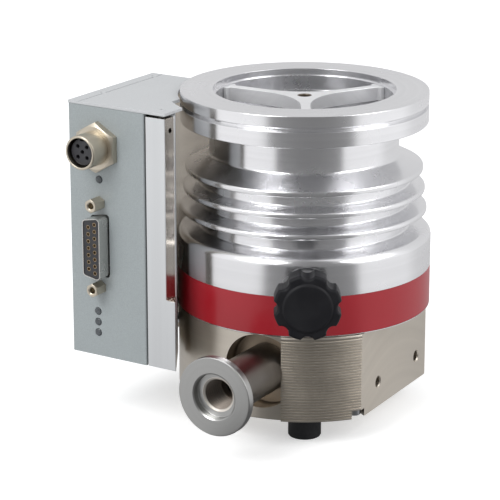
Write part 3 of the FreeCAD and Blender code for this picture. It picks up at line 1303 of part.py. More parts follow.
# Check every object, then write one file for each named piece
NODES = """pump_housing colour_band inlet_star safety_bearing magnet_stack_fixed stator_disc_1 stator_disc_2
stator_disc_3 stator_disc_4 spacer_ring_1 spacer_ring_2 spacer_ring_3 spacer_ring_4 holweck_stator base_housing
base_seal base_screws motor_core motor_windings bearing_outer_ring bearing_holder oil_felt reservoir_cap cap_seal
foreline_port port_seal port_screw vent_body rubber_feet foot_screws controller_bracket controller_case
controller_panel controller_cover cover_screws circuit_board power_socket power_socket_insert power_socket_nut
data_socket_shell data_socket_insert jack_screws status_lights bracket_screws vent_seal vent_spindle vent_knob
rotor_shaft rotor_disc_1 rotor_disc_2 rotor_disc_3 rotor_disc_4 rotor_disc_5 holweck_sleeve magnet_stack_rotor
motor_magnet bearing_inner_ring bearing_balls bearing_cage shaft_nut""".split()
doc.recompute()
failed = [thing.Name for thing in doc.Objects if "Invalid" in thing.State or "Error" in thing.State]
if failed:
    raise RuntimeError("could not be built: " + " ".join(failed))
os.makedirs("parts", exist_ok=True)
for name in NODES:
    shape = doc.getObject(name).Shape
    if shape.isNull() or not shape.Solids or not shape.isValid():
        raise RuntimeError(name + " has no valid shape")
    shape.exportStep("parts/%s.step" % name)
    print(name, len(shape.Solids), round(shape.Volume, 1), [round(side, 2) for side in (
        shape.BoundBox.XMin, shape.BoundBox.YMin, shape.BoundBox.ZMin,
        shape.BoundBox.XMax, shape.BoundBox.YMax, shape.BoundBox.ZMax)])
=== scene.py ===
# Turbomolecular pump with its drive electronics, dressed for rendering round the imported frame.
# Outlines are written in millimetres, as on a workshop drawing, and scaled once when a mesh is made.
import bmesh
import bpy
import math
from mathutils import Matrix, Vector


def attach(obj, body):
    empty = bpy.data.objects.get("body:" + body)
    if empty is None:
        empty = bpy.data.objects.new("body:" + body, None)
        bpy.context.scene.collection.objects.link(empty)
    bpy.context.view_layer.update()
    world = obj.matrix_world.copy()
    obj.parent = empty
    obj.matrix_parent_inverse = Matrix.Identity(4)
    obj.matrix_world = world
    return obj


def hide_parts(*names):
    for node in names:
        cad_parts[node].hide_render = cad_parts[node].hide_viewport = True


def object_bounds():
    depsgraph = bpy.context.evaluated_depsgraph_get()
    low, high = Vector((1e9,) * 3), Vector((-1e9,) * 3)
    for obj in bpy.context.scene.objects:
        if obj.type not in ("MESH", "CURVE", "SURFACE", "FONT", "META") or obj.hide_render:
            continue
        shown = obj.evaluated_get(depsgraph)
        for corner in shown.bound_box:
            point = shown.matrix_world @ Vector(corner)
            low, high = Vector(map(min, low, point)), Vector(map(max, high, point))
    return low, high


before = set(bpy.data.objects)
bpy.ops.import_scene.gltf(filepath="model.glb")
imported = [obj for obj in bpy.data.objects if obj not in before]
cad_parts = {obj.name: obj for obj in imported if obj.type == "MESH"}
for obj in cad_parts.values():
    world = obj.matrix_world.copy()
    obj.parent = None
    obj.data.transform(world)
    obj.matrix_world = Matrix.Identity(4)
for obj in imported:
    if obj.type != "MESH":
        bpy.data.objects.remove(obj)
cad_box = [list(corner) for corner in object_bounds()]

# Pump housing
# One bright turned aluminium piece: clamp flange, neck, cone, three cooling fins and lower cylinder.
# It is cut on a lathe, so every face carries fine rings left by the tool.
MM = 0.001


def at(across, deep, level=0):
    """A move by millimetres."""
    return Matrix.Translation((across * MM, deep * MM, level * MM))


def spaced(count, radius, first=0):
    """Points spaced evenly on a circle, the first one at an angle in degrees."""
    turns = [math.radians(360 / count * k + first) for k in range(count)]
    return [(radius * math.cos(turn), radius * math.sin(turn)) for turn in turns]


def rounded(corners):
    """An outline from corners (across, along, radius): each corner with a radius becomes an arc."""
    points = []
    for i, (across, along, radius) in enumerate(corners):
        here = Vector((across, along))
        if not radius:
            points.append((across, along))
            continue
        back = Vector(corners[i - 1][:2]) - here
        ahead = Vector(corners[(i + 1) % len(corners)][:2]) - here
        half = back.angle(ahead) / 2
        reach = min(radius / math.tan(half), 0.48 * back.length, 0.48 * ahead.length)
        start = here + back.normalized() * reach
        end = here + ahead.normalized() * reach
        centre = here + (back.normalized() + ahead.normalized()).normalized() * reach / math.cos(half)
        steps = 3
        for k in range(steps + 1):
            spoke = (start - centre).lerp(end - centre, k / steps)
            spot = centre + spoke.normalized() * (start - centre).length
            points.append((spot.x, spot.y))
    return points


def made_from(name, mesh_maker, place=None):
    """A new object from a bmesh that is closed and faces outwards."""
    bmesh.ops.remove_doubles(mesh_maker, verts=mesh_maker.verts, dist=1e-6)
    bmesh.ops.recalc_face_normals(mesh_maker, faces=mesh_maker.faces)
    mesh = bpy.data.meshes.new(name)
    mesh_maker.to_mesh(mesh)
    mesh_maker.free()
    if place:
        mesh.transform(place)
    made = bpy.data.objects.new(name, mesh)
    bpy.context.scene.collection.objects.link(made)
    return made


def turned(name, outline, steps=192, place=None):
    """A lathe piece: a closed outline of (radius, height) spun round the Z axis. Corners with a third
    value are rounded by it."""
    if len(outline[0]) == 3:
        outline = rounded(outline)
    maker = bmesh.new()
    rings = []
    for radius, height in outline:
        count = steps if radius > 1e-6 else 1
        rings.append([maker.verts.new((radius * MM * math.cos(2 * math.pi * k / steps),
                                       radius * MM * math.sin(2 * math.pi * k / steps),
                                       height * MM)) for k in range(count)])
    for low, high in zip(rings, rings[1:] + rings[:1]):
        for k in range(steps):
            corners = (low[k % len(low)], low[(k + 1) % len(low)], high[(k + 1) % len(high)],
                       high[k % len(high)])
            corners = list(dict.fromkeys(corners))
            if len(corners) > 2:
                maker.faces.new(corners)
    return made_from(name, maker, place)


def applied(piece):
    """Turn the piece's modifiers into its plain mesh."""
    graph = bpy.context.evaluated_depsgraph_get()
    mesh = bpy.data.meshes.new_from_object(piece.evaluated_get(graph))
    piece.modifiers.clear()
    piece.data = mesh
    return piece


def combined(piece, other, how="DIFFERENCE"):
    """Cut another object away from the piece, or join it on, and delete it."""
    change = piece.modifiers.new("shape", "BOOLEAN")
    change.operation = how
    change.solver = "EXACT"
    change.object = other
    applied(piece)
    bpy.data.objects.remove(other)
    return piece


def round_bar(radius, low, high, place=None, steps=32):
    """A plain round bar along Z between two heights."""
    return turned("round_bar", [(0, low), (radius, low), (radius, high), (0, high)], steps, place)


def bored(piece, radius, low, high, place=None, steps=32):
    """Cut a plain round hole into the piece."""
    return combined(piece, round_bar(radius, low, high, place, steps))


def united(name, pieces):
    """Join pieces that stand apart into one object."""
    whole = pieces[0]
    for piece in pieces[1:]:
        combined(whole, piece, "UNION")
    whole.name = name
    return whole


def settled(piece, body, slot, finish, *nodes, crease=38, place=None):
    """Move the finished piece to its place, shade it, give it its material and fix it to its body in
    place of its CAD nodes."""
    if place:
        piece.data.transform(place)
    for face in piece.data.polygons:
        face.use_smooth = True
    piece.data.set_sharp_from_angle(angle=math.radians(crease))
    even = piece.modifiers.new("even shading", "WEIGHTED_NORMAL")
    even.keep_sharp = True
    applied(piece)
    piece.data.materials.clear()
    piece.data.materials.append(finish)
    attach(piece, body)
    if nodes:
        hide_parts(*nodes)
    return piece


def added(tree, kind, settings=None, **inputs):
    """A shader node with its sockets set or linked; an underscore in a name stands for a space."""
    made = tree.nodes.new(kind)
    for key, choice in (settings or {}).items():
        setattr(made, key, choice)
    for key, given in inputs.items():
        socket = made.inputs[int(key[1:])] if key[1:].isdigit() else made.inputs[key.replace("_", " ")]
        if isinstance(given, bpy.types.NodeSocket):
            tree.links.new(given, socket)
        else:
            socket.default_value = given
    return made


def effect(name, inputs, outputs):
    """An empty shader node group with named sockets."""
    tree = bpy.data.node_groups.new(name, "ShaderNodeTree")
    for socket, kind, start in inputs:
        made = tree.interface.new_socket(socket, in_out="INPUT", socket_type=kind)
        if start is not None:
            made.default_value = start
    for socket, kind in outputs:
        tree.interface.new_socket(socket, in_out="OUTPUT", socket_type=kind)
    return tree, tree.nodes.new("NodeGroupInput").outputs, tree.nodes.new("NodeGroupOutput").inputs


def computed(tree, operation, first, second):
    """The result of one sum of two values."""
    return added(tree, "ShaderNodeMath", {"operation": operation}, i0=first, i1=second).outputs[0]


def length_of(tree, vector):
    """The length of a vector."""
    return added(tree, "ShaderNodeVectorMath", {"operation": "LENGTH"}, Vector=vector).outputs["Value"]


def spanned(tree, value, start=0.0, end=1.0, low=0.0, high=1.0):
    """A value's place between two limits, carried over to two others."""
    return added(tree, "ShaderNodeMapRange", Value=value, From_Min=start, From_Max=end, To_Min=low,
                 To_Max=high).outputs["Result"]


def mixed(tree, share, first, second, blend="MIX"):
    """Two colours, each a triple or a socket, mixed by a share."""
    first, second = [c if isinstance(c, bpy.types.NodeSocket) else (*c, 1) for c in (first, second)]
    return added(tree, "ShaderNodeMix", {"data_type": "RGBA", "blend_type": blend}, Factor=share, A=first,
                 B=second).outputs["Result"]


def noise(tree, position, scale, detail=2.0):
    """Plain noise of a given fineness."""
    return added(tree, "ShaderNodeTexNoise", Vector=position, Scale=scale, Detail=detail).outputs["Fac"]


def split_level(tree, vector):
    """A vector's three parts, and its level part alone."""
    parts = added(tree, "ShaderNodeSeparateXYZ", Vector=vector).outputs
    return parts, added(tree, "ShaderNodeCombineXYZ", X=parts["X"], Y=parts["Y"]).outputs[0]


def seen_from(tree, position, place):
    """The position as it is on a piece before it is moved to its place."""
    turn = added(tree, "ShaderNodeMapping", Vector=position)
    turn.inputs["Rotation"].default_value = place.inverted().to_euler()
    turn.inputs["Location"].default_value = place.inverted().translation
    return turn.outputs[0]


# Rings left by a lathe tool: fine marks that follow the distance along and out from the axis.
lathe_rings, given, out = effect("lathe rings", [
    ("Position", "NodeSocketVector", None), ("Rings per metre", "NodeSocketFloat", 2500.0)],
    [("Height", "NodeSocketFloat"), ("Streaks", "NodeSocketFloat")])
parts, flat = split_level(lathe_rings, given["Position"])
travel = computed(lathe_rings, "ADD", length_of(lathe_rings, flat), parts["Z"])
for scale, detail, name in ((given["Rings per metre"], 2.0, "Height"), (220.0, 3.0, "Streaks")):
    rings = added(lathe_rings, "ShaderNodeTexNoise", {"noise_dimensions": "1D"}, W=travel, Scale=scale,
                  Detail=detail)
    lathe_rings.links.new(rings.outputs["Fac"], out[name])

# Handling marks: soft clouds where hands and cloths have dulled a surface.
handling, given, out = effect("handling marks", [
    ("Position", "NodeSocketVector", None), ("Patch size", "NodeSocketFloat", 0.02)],
    [("Mask", "NodeSocketFloat")])
clouds = noise(handling, given["Position"], computed(handling, "DIVIDE", 1.0, given["Patch size"]), 4.0)
handling.links.new(spanned(handling, clouds, 0.4, 0.68), out["Mask"])


def new_finish(name, patch_size):
    """A new material: its node tree, its shader, the position on the object and the handling marks."""
    finish = bpy.data.materials.new(name)
    finish.use_nodes = True
    tree = finish.node_tree
    position = added(tree, "ShaderNodeTexCoord").outputs["Object"]
    hands = added(tree, "ShaderNodeGroup", {"node_tree": handling}, Position=position, Patch_size=patch_size)
    return finish, tree, tree.nodes["Principled BSDF"], position, hands


def linked(tree, shader, colour, roughness=None, height=None, strength=0.0, distance=0.0001):
    """Link colour, roughness and a fine bump to the shader."""
    bump = None
    if height:
        bump = added(tree, "ShaderNodeBump", Height=height, Strength=strength, Distance=distance).outputs[0]
    for socket, source in (("Base Color", colour), ("Roughness", roughness), ("Normal", bump)):
        if source:
            tree.links.new(source, shader.inputs[socket])


TOOL_MARK = 0.00006


def turned_metal(name, colour, roughness, rings=2500.0, depth=0.12, uneven=0.08, place=None,
                 sheen_turn=0.35):
    """A bright metal cut on a lathe; place brings the piece's own axis back to Z."""
    finish, tree, shader, position, hands = new_finish(name, 0.018)
    if place:
        position = seen_from(tree, position, place)
        tree.links.new(position, hands.inputs["Position"])
    marks = added(tree, "ShaderNodeGroup", {"node_tree": lathe_rings}, Position=position,
                  Rings_per_metre=rings)
    tone = mixed(tree, marks.outputs["Streaks"], [0.9 * c for c in colour],
                 [min(1, 1.06 * c) for c in colour])
    dull = spanned(tree, hands.outputs["Mask"], low=roughness, high=roughness + uneven)
    linked(tree, shader, tone, dull, marks.outputs["Height"], depth, TOOL_MARK)
    shader.inputs["Metallic"].default_value = 1.0
    shader.inputs["Anisotropic"].default_value = 0.0 if place else sheen_turn
    shader.inputs["Anisotropic Rotation"].default_value = 0.25
    return finish


def shade_painted_in(finish, place, zones, soft=0.3):
    """Paint shade into a finish's colour where little light gets in: zones of (within this radius, below
    this height, share of the colour kept) in millimetres, measured from the piece's own axis."""
    tree = finish.node_tree
    colour = tree.nodes["Principled BSDF"].inputs["Base Color"]
    position = seen_from(tree, added(tree, "ShaderNodeTexCoord").outputs["Object"], place)
    parts, flat = split_level(tree, position)
    out_by = length_of(tree, flat)
    edge = 0.15
    for radius, height, kept in zones:
        near = spanned(tree, out_by, (radius - edge) * MM, radius * MM, 1.0, 0.0)
        deep = spanned(tree, parts["Z"], (height - soft) * MM, height * MM, 1.0, 0.0)
        share = computed(tree, "MULTIPLY", near, deep)
        tree.links.new(mixed(tree, share, colour.links[0].from_socket, kept, "MULTIPLY"), colour)
    return finish


bright_aluminium = turned_metal("bright_aluminium", (0.86, 0.86, 0.875), 0.22, sheen_turn=0.6)
fins = []
for level, tip in ((29.0, 45.7), (36.95, 46.5), (44.9, 47.3)):
    if level > 29:
        fins.append((40.3, -level + 1.2, 0.8))
    fins += [(tip, -level, 0.8), (tip, -level - 2.0, 0.7), (40.3, -level - 2.6, 0.8)]
housing_outline = [
    (35, 0, 0.12), (47.5, 0, 0.3), (47.5, -4.3, 0.15), (45.9, -5.0, 0.1), (45.9, -6.0, 0.1),
    (47.5, -6.0, 0.15), (47.5, -12, 0.35), (36.4, -12, 1.0),
    (36.4, -24.5, 1.5)] + fins + [(40.3, -52.8, 0.8), (49.1, -54, 2.9), (49.1, -68.1, 0.1),
    (48.7, -68.1, 0), (48.7, -83.3, 0), (49.1, -83.3, 0), (49.1, -83.6, 0.15), (37.6, -83.6, 0),
    (37.6, -27.5, 0), (33.4, -27.5, 0.2), (33.4, -8.3, 0.1), (34.0, -8.3, 0), (34.0, -2.6, 0.1),
    (35.0, -2.6, 0.1)]
pump_housing = turned("pump_housing_turned", housing_outline, 256)
facing_front = Matrix.Rotation(math.radians(90), 4, "X")
vent_place = at(0, 0, -65.2) @ facing_front
bored(pump_housing, 8.6, 47.6, 60, vent_place, 96)
bored(pump_housing, 4.43, 30, 60, vent_place, 64)
settled(pump_housing, "pump", "housing_aluminium", bright_aluminium, "pump_housing")

# Colour band
# A red strip in a shallow groove round the lower cylinder, satin and slightly wavy in its gloss.
# It stays bare, and is cut out round the vent valve.
red_strip, tree, shader, position, hands = new_finish("red_strip", 0.03)
red = mixed(tree, hands.outputs["Mask"], (0.31, 0.006, 0.014), (0.34, 0.008, 0.018))
linked(tree, shader, red, None, noise(tree, position, 900.0), 0.05)
shader.inputs["Roughness"].default_value = 0.33
shader.inputs["Coat Weight"].default_value = 0.15
shader.inputs["Coat Roughness"].default_value = 0.12
colour_band = turned("colour_band_strip", [
    (48.73, -68.15, 0), (49.08, -68.15, 0.1), (49.08, -83.25, 0.1), (48.73, -83.25, 0)], 256)
bored(colour_band, 8.8, 30, 60, vent_place, 96)
settled(colour_band, "pump", "band_red", red_strip, "colour_band")

# Inlet star
# Three arms on a ledge in the inlet carry a hub with hollowed sides; milled from one aluminium piece.
# The post below the hub holds the fixed ring magnets.
def milled_plate(name, edge, low, high, rim=0.2):
    """A plate from a closed outline of (x, y) points, with slightly broken edges."""
    maker = bmesh.new()
    face = maker.faces.new([maker.verts.new((x * MM, y * MM, low * MM)) for x, y in edge])
    grown = bmesh.ops.extrude_face_region(maker, geom=[face])
    bmesh.ops.translate(maker, vec=(0, 0, (high - low) * MM),
                        verts=[v for v in grown["geom"] if isinstance(v, bmesh.types.BMVert)])
    made = made_from(name, maker)
    if rim:
        soften = made.modifiers.new("rim", "BEVEL")
        soften.width = rim * MM
        soften.segments = 2
        soften.limit_method = "ANGLE"
        soften.angle_limit = math.radians(40)
        applied(made)
    return made


scoop_radius, scoop_distance, arm_half = 26.7, 33.0, 1.85
star_edge = []
for i in range(3):
    arm = math.radians(30 + 120 * i)
    along, beside = Vector((math.cos(arm), math.sin(arm))), Vector((-math.sin(arm), math.cos(arm)))
    for out_by, side_by in ((32.0, -arm_half), (32.4, -3.75), (33.75, -3.75), (33.95, 0), (33.75, 3.75),
                            (32.4, 3.75), (32.0, arm_half)):
        spot = along * out_by + beside * side_by
        star_edge.append((spot.x, spot.y))
    middle = math.radians(90 + 120 * i)
    centre = Vector((math.cos(middle), math.sin(middle))) * scoop_distance
    swing = math.radians(30)
    for k in range(17):
        turn = middle + math.pi + swing * (1 - 2 * k / 16)
        spot = centre + Vector((math.cos(turn), math.sin(turn))) * scoop_radius
        star_edge.append((spot.x, spot.y))
inlet_star = milled_plate("inlet_star_milled", star_edge, -8.3, -2.8, 0.25)
star_post = turned("star_post", [
    (2.3, -25.6, 0), (5, -25.6, 0.2), (5, -11.7, 0), (9, -11.7, 0.3), (9, -8.0, 0), (2.3, -8.0, 0)], 96)
combined(inlet_star, star_post, "UNION")
combined(inlet_star, turned("star_hole", [(0, -30), (2.3, -30), (2.3, -3.2), (2.7, -2.7), (0, -2.7)], 48))
# The star's centre hole and the top of the post's collar are painted darker: painted shade in the hole and a
# painted-out highlight on the collar.
star_metal = shade_painted_in(turned_metal("star_metal", (0.82, 0.82, 0.83), 0.28, 1800.0, 0.1, 0.08, None, 0.0),
                      Matrix.Identity(4), [(2.85, -2.72, (0.16, 0.13, 0.1)), (9.3, -7.9, (0.3, 0.3, 0.3))],
                      0.05)
star_metal.node_tree.nodes["Principled BSDF"].inputs["Metallic"].default_value = 0.6
settled(inlet_star, "pump", "housing_aluminium", star_metal, "inlet_star")

# Upper bearings
# Ring magnets on the star's post and in the rotor's nose hold the shaft without touching.
# They are dull nickel-plated sintered metal; the small safety bearing between them is ground steel.
magnet_metal = turned_metal("magnet_metal", (0.42, 0.42, 0.44), 0.42, 900.0, 0.25)
for name, inner, outer, top, body, node in (
        ("fixed_magnets", 5.03, 8.2, 11.7, "pump", "magnet_stack_fixed"),
        ("turning_magnets", 8.65, 11.1, 13.4, "rotor", "magnet_stack_rotor")):
    rings = []
    for i in range(3):
        low = -top - 4.5 * (i + 1)
        rings.append(turned(name, [
            (inner, low + 0.02, 0.2), (outer, low + 0.02, 0.2), (outer, low + 4.48, 0.2),
            (inner, low + 4.48, 0.2)], 96))
    settled(united(name, rings), body, "magnet_metal", magnet_metal, node)

# Rotor
# The shaft's nose, cup and collar are turned from high-strength aluminium; each disc is a ring of
# flat leaning blades milled from solid, and the first one is what shows through the inlet.
# The shaft's nose, seen down the star's hole, is painted almost black: painted shade.
rotor_metal = shade_painted_in(turned_metal("rotor_metal", (0.66, 0.66, 0.67), 0.3, 1500.0, 0.2),
                       Matrix.Identity(4), [(2.4, -9.0, (0.08, 0.07, 0.06))])
blade_metal = turned_metal("blade_metal", (0.52, 0.52, 0.54), 0.34, 900.0, 0.25, 0.1, None, 0.0)
rotor_shaft = turned("rotor_shaft_turned", [
    (0, -9.4, 0), (1.6, -9.4, 0.3), (1.6, -28, 0.2), (11.13, -28, 0), (11.13, -12.9, 0.2),
    (12.8, -12.9, 0.3), (12.8, -16.2, 0.3), (15.4, -16.8, 0.3), (15.4, -18.2, 0.1), (14, -18.2, 0),
    (14, -63.14, 0.2), (9, -63.9, 0.5), (9, -66, 0.2), (6, -66, 0), (6, -82, 0.2), (4.5, -82, 0),
    (4.5, -92, 0.1), (3, -92, 0), (3, -98, 0.1), (2.5, -98, 0), (2.5, -105, 0.3), (0, -105, 0)], 128)
settled(rotor_shaft, "rotor", "stage_aluminium", rotor_metal, "rotor_shaft")


def grown_by_nodes(name, inputs, build, finish):
    """Run a Geometry Nodes tree with named inputs and keep its result as a plain mesh."""
    tree = bpy.data.node_groups.new(name, "GeometryNodeTree")
    for socket, kind, start in inputs:
        made = tree.interface.new_socket(socket, in_out="INPUT", socket_type=kind)
        made.default_value = start
    tree.interface.new_socket("Geometry", in_out="OUTPUT", socket_type="NodeSocketGeometry")
    shape = build(tree, tree.nodes.new("NodeGroupInput").outputs)
    real = added(tree, "GeometryNodeRealizeInstances", Geometry=shape)
    dressed = added(tree, "GeometryNodeSetMaterial", Geometry=real.outputs[0])
    dressed.inputs["Material"].default_value = finish
    tree.links.new(dressed.outputs[0], tree.nodes.new("NodeGroupOutput").inputs[0])
    made = bpy.data.objects.new(name, bpy.data.meshes.new(name))
    bpy.context.scene.collection.objects.link(made)
    growth = made.modifiers.new("growth", "NODES")
    growth.node_group = tree
    for item in tree.interface.items_tree:
        if item.item_type == "SOCKET" and item.in_out == "INPUT":
            growth[item.identifier] = item.default_value
    return applied(made)


def facing_out(tree):
    """The turn of each copy that makes it face away from the rotor's axis."""
    spot = added(tree, "ShaderNodeSeparateXYZ", Vector=added(tree, "GeometryNodeInputPosition").outputs[0])
    turn = computed(tree, "ARCTAN2", spot.outputs["Y"], spot.outputs["X"])
    return added(tree, "ShaderNodeCombineXYZ", Z=turn).outputs[0]


def blade_row(tree, given):
    """Leaning flat blades spaced evenly round the rotor's axis."""
    spots = added(tree, "GeometryNodeMeshCircle", Vertices=given["Blades"], Radius=given["Middle radius"])
    size = added(tree, "ShaderNodeCombineXYZ", X=given["Length"], Y=given["Thickness"],
                 Z=given["Slant height"])
    blade = added(tree, "GeometryNodeMeshCube", Size=size.outputs[0])
    lean = added(tree, "ShaderNodeCombineXYZ", X=given["Lean"])
    leaning = added(tree, "GeometryNodeTransform", Geometry=blade.outputs[0], Rotation=lean.outputs[0])
    placed = added(tree, "GeometryNodeInstanceOnPoints", Points=spots.outputs[0],
                   Instance=leaning.outputs[0], Rotation=facing_out(tree))
    drop = added(tree, "ShaderNodeCombineXYZ", Z=given["Height"])
    return added(tree, "GeometryNodeTransform", Geometry=placed.outputs[0],
                 Translation=drop.outputs[0]).outputs[0]


root, tip, height, lean = 17.0, 32.6, 8.2, math.radians(45)
first_disc = grown_by_nodes("rotor_disc_1_blades", [
    ("Blades", "NodeSocketInt", 20), ("Middle radius", "NodeSocketFloat", (root - 1 + tip - 0.02) / 2 * MM),
    ("Length", "NodeSocketFloat", (tip - root + 0.98) * MM), ("Thickness", "NodeSocketFloat", 1.1 * MM),
    ("Slant height", "NodeSocketFloat", (height / math.cos(lean) - 1.0) * MM),
    ("Lean", "NodeSocketFloat", lean), ("Height", "NodeSocketFloat", -22.7 * MM)], blade_row, blade_metal)
hub = turned("disc_hub", [
    (14.03, -30.8, 0), (root, -30.8, 0.2), (root, -18.2, 0.3), (14.03, -18.2, 0.1)], 128)
first_disc = combined(first_disc, hub, "UNION")
settled(first_disc, "rotor", "stage_aluminium", blade_metal, "rotor_disc_1", crease=25)

# Base
# A turned block with nickel plating of a champagne tint. It has a flat side with two threaded holes,
# a finely grooved sector, a round pocket for the foreline port, and the motor's tower inside.
plated_nickel = turned_metal("plated_nickel", (0.61, 0.56, 0.49), 0.38, 2200.0, 0.08, 0.1)


def swept_sector(name, outline, start, end, steps):
    """Part of a lathe piece: the closed outline swept from one angle to another and capped."""
    maker = bmesh.new()
    rows = []
    for k in range(steps + 1):
        turn = math.radians(start + (end - start) * k / steps)
        rows.append([maker.verts.new((r * MM * math.cos(turn), r * MM * math.sin(turn), z * MM)) for r,
                     z in outline])
    count = len(outline)
    for here, there in zip(rows, rows[1:]):
        for i in range(count):
            maker.faces.new((here[i], here[(i + 1) % count], there[(i + 1) % count], there[i]))
    maker.faces.new(rows[0])
    maker.faces.new(rows[-1])
    return made_from(name, maker)


def square_block(name, low, high, place=None, rim=0):
    """A block between two corners, with its edges broken where it has a rim."""
    edge = [(low[0], low[1]), (high[0], low[1]), (high[0], high[1]), (low[0], high[1])]
    made = milled_plate(name, edge, low[2], high[2], rim)
    if place:
        made.data.transform(place)
    return made


def about_axis(degrees):
    """A turn round the rotor's axis."""
    return Matrix.Rotation(math.radians(degrees), 4, "Z")


def along_axis(azimuth, across=0, level=0):
    """The place of a lathe piece whose own Z axis lies level and points at an azimuth; across shifts it
    to the side."""
    turn = math.radians(azimuth)
    start = Vector((-across * math.sin(turn), across * math.cos(turn), level)) * MM
    return Matrix.Translation(start) @ about_axis(azimuth) @ Matrix.Rotation(math.radians(90), 4, "Y")


port_place = along_axis(-120.5, 8.0, -98.2)
base_housing = turned("base_turned", [
    (5.2, -88, 0), (24.1, -88, 0), (24.1, -63.4, 0), (27.8, -63.4, 0), (27.8, -100, 0), (34.5, -100, 0),
    (34.5, -80.8, 0), (37.57, -80.8, 0), (37.57, -85.15, 0), (39.4, -85.15, 0), (39.4, -83.8, 0),
    (48.6, -83.8, 0.3), (48.6, -117, 0.5), (14.23, -117, 0), (14.23, -110.5, 0), (12.6, -110.5, 0),
    (12.6, -91, 0), (5.2, -91, 0)], 256)
combined(base_housing, turned("pocket", [(0, 41, 0), (14.4, 41, 0.8), (14.4, 90, 0), (0, 90, 0)], 128,
                              port_place))
ridge_pitch = 1.1
ridge_outline = [(42.6, -117), (49.6, -117)]
for i in range(29):
    low = -117 + ridge_pitch * i
    ridge_outline += [(49.8, low + 0.06), (49.8, low + 0.64), (49.5, low + 0.85)]
ridge_outline += [(49.8, -84.4), (49.6, -83.8), (42.6, -83.8)]
combined(base_housing, swept_sector("ridges", ridge_outline, -100.8, -60, 40), "UNION")
flat_azimuth = -28.8
combined(base_housing, square_block("flat", (40.1, -70, -120), (80, 70, -80), about_axis(flat_azimuth)))
for across in (-14.9, 19.1):
    combined(base_housing, turned("side_hole", [
        (0, 32.1), (2.1, 32.1), (2.1, 39.6), (2.5, 40.2), (2.5, 60), (0, 60)], 40,
        along_axis(flat_azimuth, across, -107)))
for i in range(4):
    combined(base_housing, square_block("notch", (42.3, -3, -120), (70, 3, -113.8), about_axis(24 + 90 * i)))
combined(base_housing, turned("port_way", [
    (0, 29), (3.6, 29), (3.6, 36.2), (5.23, 36.2), (5.23, 39.6), (6.85, 39.6), (6.85, 43), (0, 43)], 64,
    port_place))
port_down = port_place @ at(9.0, 0)
combined(base_housing, turned("screw_way", [
    (0, 37), (1.93, 37), (1.93, 40.8), (2.3, 41.2), (2.3, 43), (0, 43)], 32, port_down))
# Inside the pocket for the foreline port, and on the screw in it, the plating is painted a darker brown:
# painted shade in the recess.
nickel_shaded_pocket = shade_painted_in(plated_nickel.copy(), port_place, [(14.5, 44.2, (0.42, 0.37, 0.32))], 1.5)
settled(base_housing, "pump", "base_nickel", nickel_shaded_pocket, "base_housing", crease=30)


# Screws and feet under the base
# Four cap screws sit in notches at the lower rim and hold base and housing together. Three rubber
# pads, each held by a sunk screw, carry the pump.
def socket_screw(name, head, head_height, shank, length, key, place=None):
    """A cap screw along Z: head above zero, shank below, a six-sided socket in the head."""
    screw = turned(name, [
        (0, -length, 0), (shank, -length, 0.3), (shank, 0, 0), (head, 0, 0.1), (head, head_height, 0.35),
        (0, head_height, 0)], 40)
    combined(screw, milled_plate("key", spaced(6, key), head_height * 0.4, head_height + 1, 0))
    if place:
        screw.data.transform(place)
    return screw


def circle_of(name, original, count, radius, first, finish):
    """Copies of one piece spaced evenly on a circle round the rotor's axis."""
    def build(tree, given):
        spots = added(tree, "GeometryNodeMeshCircle", Vertices=given["Count"], Radius=given["Circle radius"])
        turn = added(tree, "ShaderNodeCombineXYZ", Z=given["First angle"])
        turned_spots = added(tree, "GeometryNodeTransform", Geometry=spots.outputs[0],
                             Rotation=turn.outputs[0])
        model = added(tree, "GeometryNodeObjectInfo")
        model.inputs["Object"].default_value = original
        return added(tree, "GeometryNodeInstanceOnPoints", Points=turned_spots.outputs[0],
                     Instance=model.outputs["Geometry"], Rotation=facing_out(tree)).outputs[0]

    made = grown_by_nodes(name, [
        ("Count", "NodeSocketInt", count), ("Circle radius", "NodeSocketFloat", radius * MM),
        ("First angle", "NodeSocketFloat", math.radians(first))], build, finish)
    bpy.data.objects.remove(original)
    return made


screw_steel = turned_metal("screw_steel", (0.42, 0.43, 0.45), 0.28, 1200.0, 0.2)
turned_over = Matrix.Rotation(math.pi, 4, "X")
cap_screw = socket_screw("cap_screw", 2.6, 2.78, 1.6, 39.7, 1.25, at(0, 0, -113.8) @ turned_over)
base_screws = circle_of("base_cap_screws", cap_screw, 4, 45.3, 24, screw_steel)
settled(base_screws, "pump", "screw_steel", screw_steel, "base_screws")


def moulded(name, colour, roughness, grain=1800.0, depth=0.25, dusty=0.25, gloss=0.5):
    """Moulded plastic or rubber: a fine grain and a thin film of dust that dulls it in patches."""
    finish, tree, shader, position, dust = new_finish(name, 0.008)
    mask = dust.outputs["Mask"]
    tone = mixed(tree, mask, colour, [c * (1 - dusty) + 0.12 * dusty for c in colour])
    dull = spanned(tree, mask, low=roughness, high=roughness + 0.12)
    linked(tree, shader, tone, dull, noise(tree, position, grain), depth)
    shader.inputs["Specular IOR Level"].default_value = gloss
    return finish


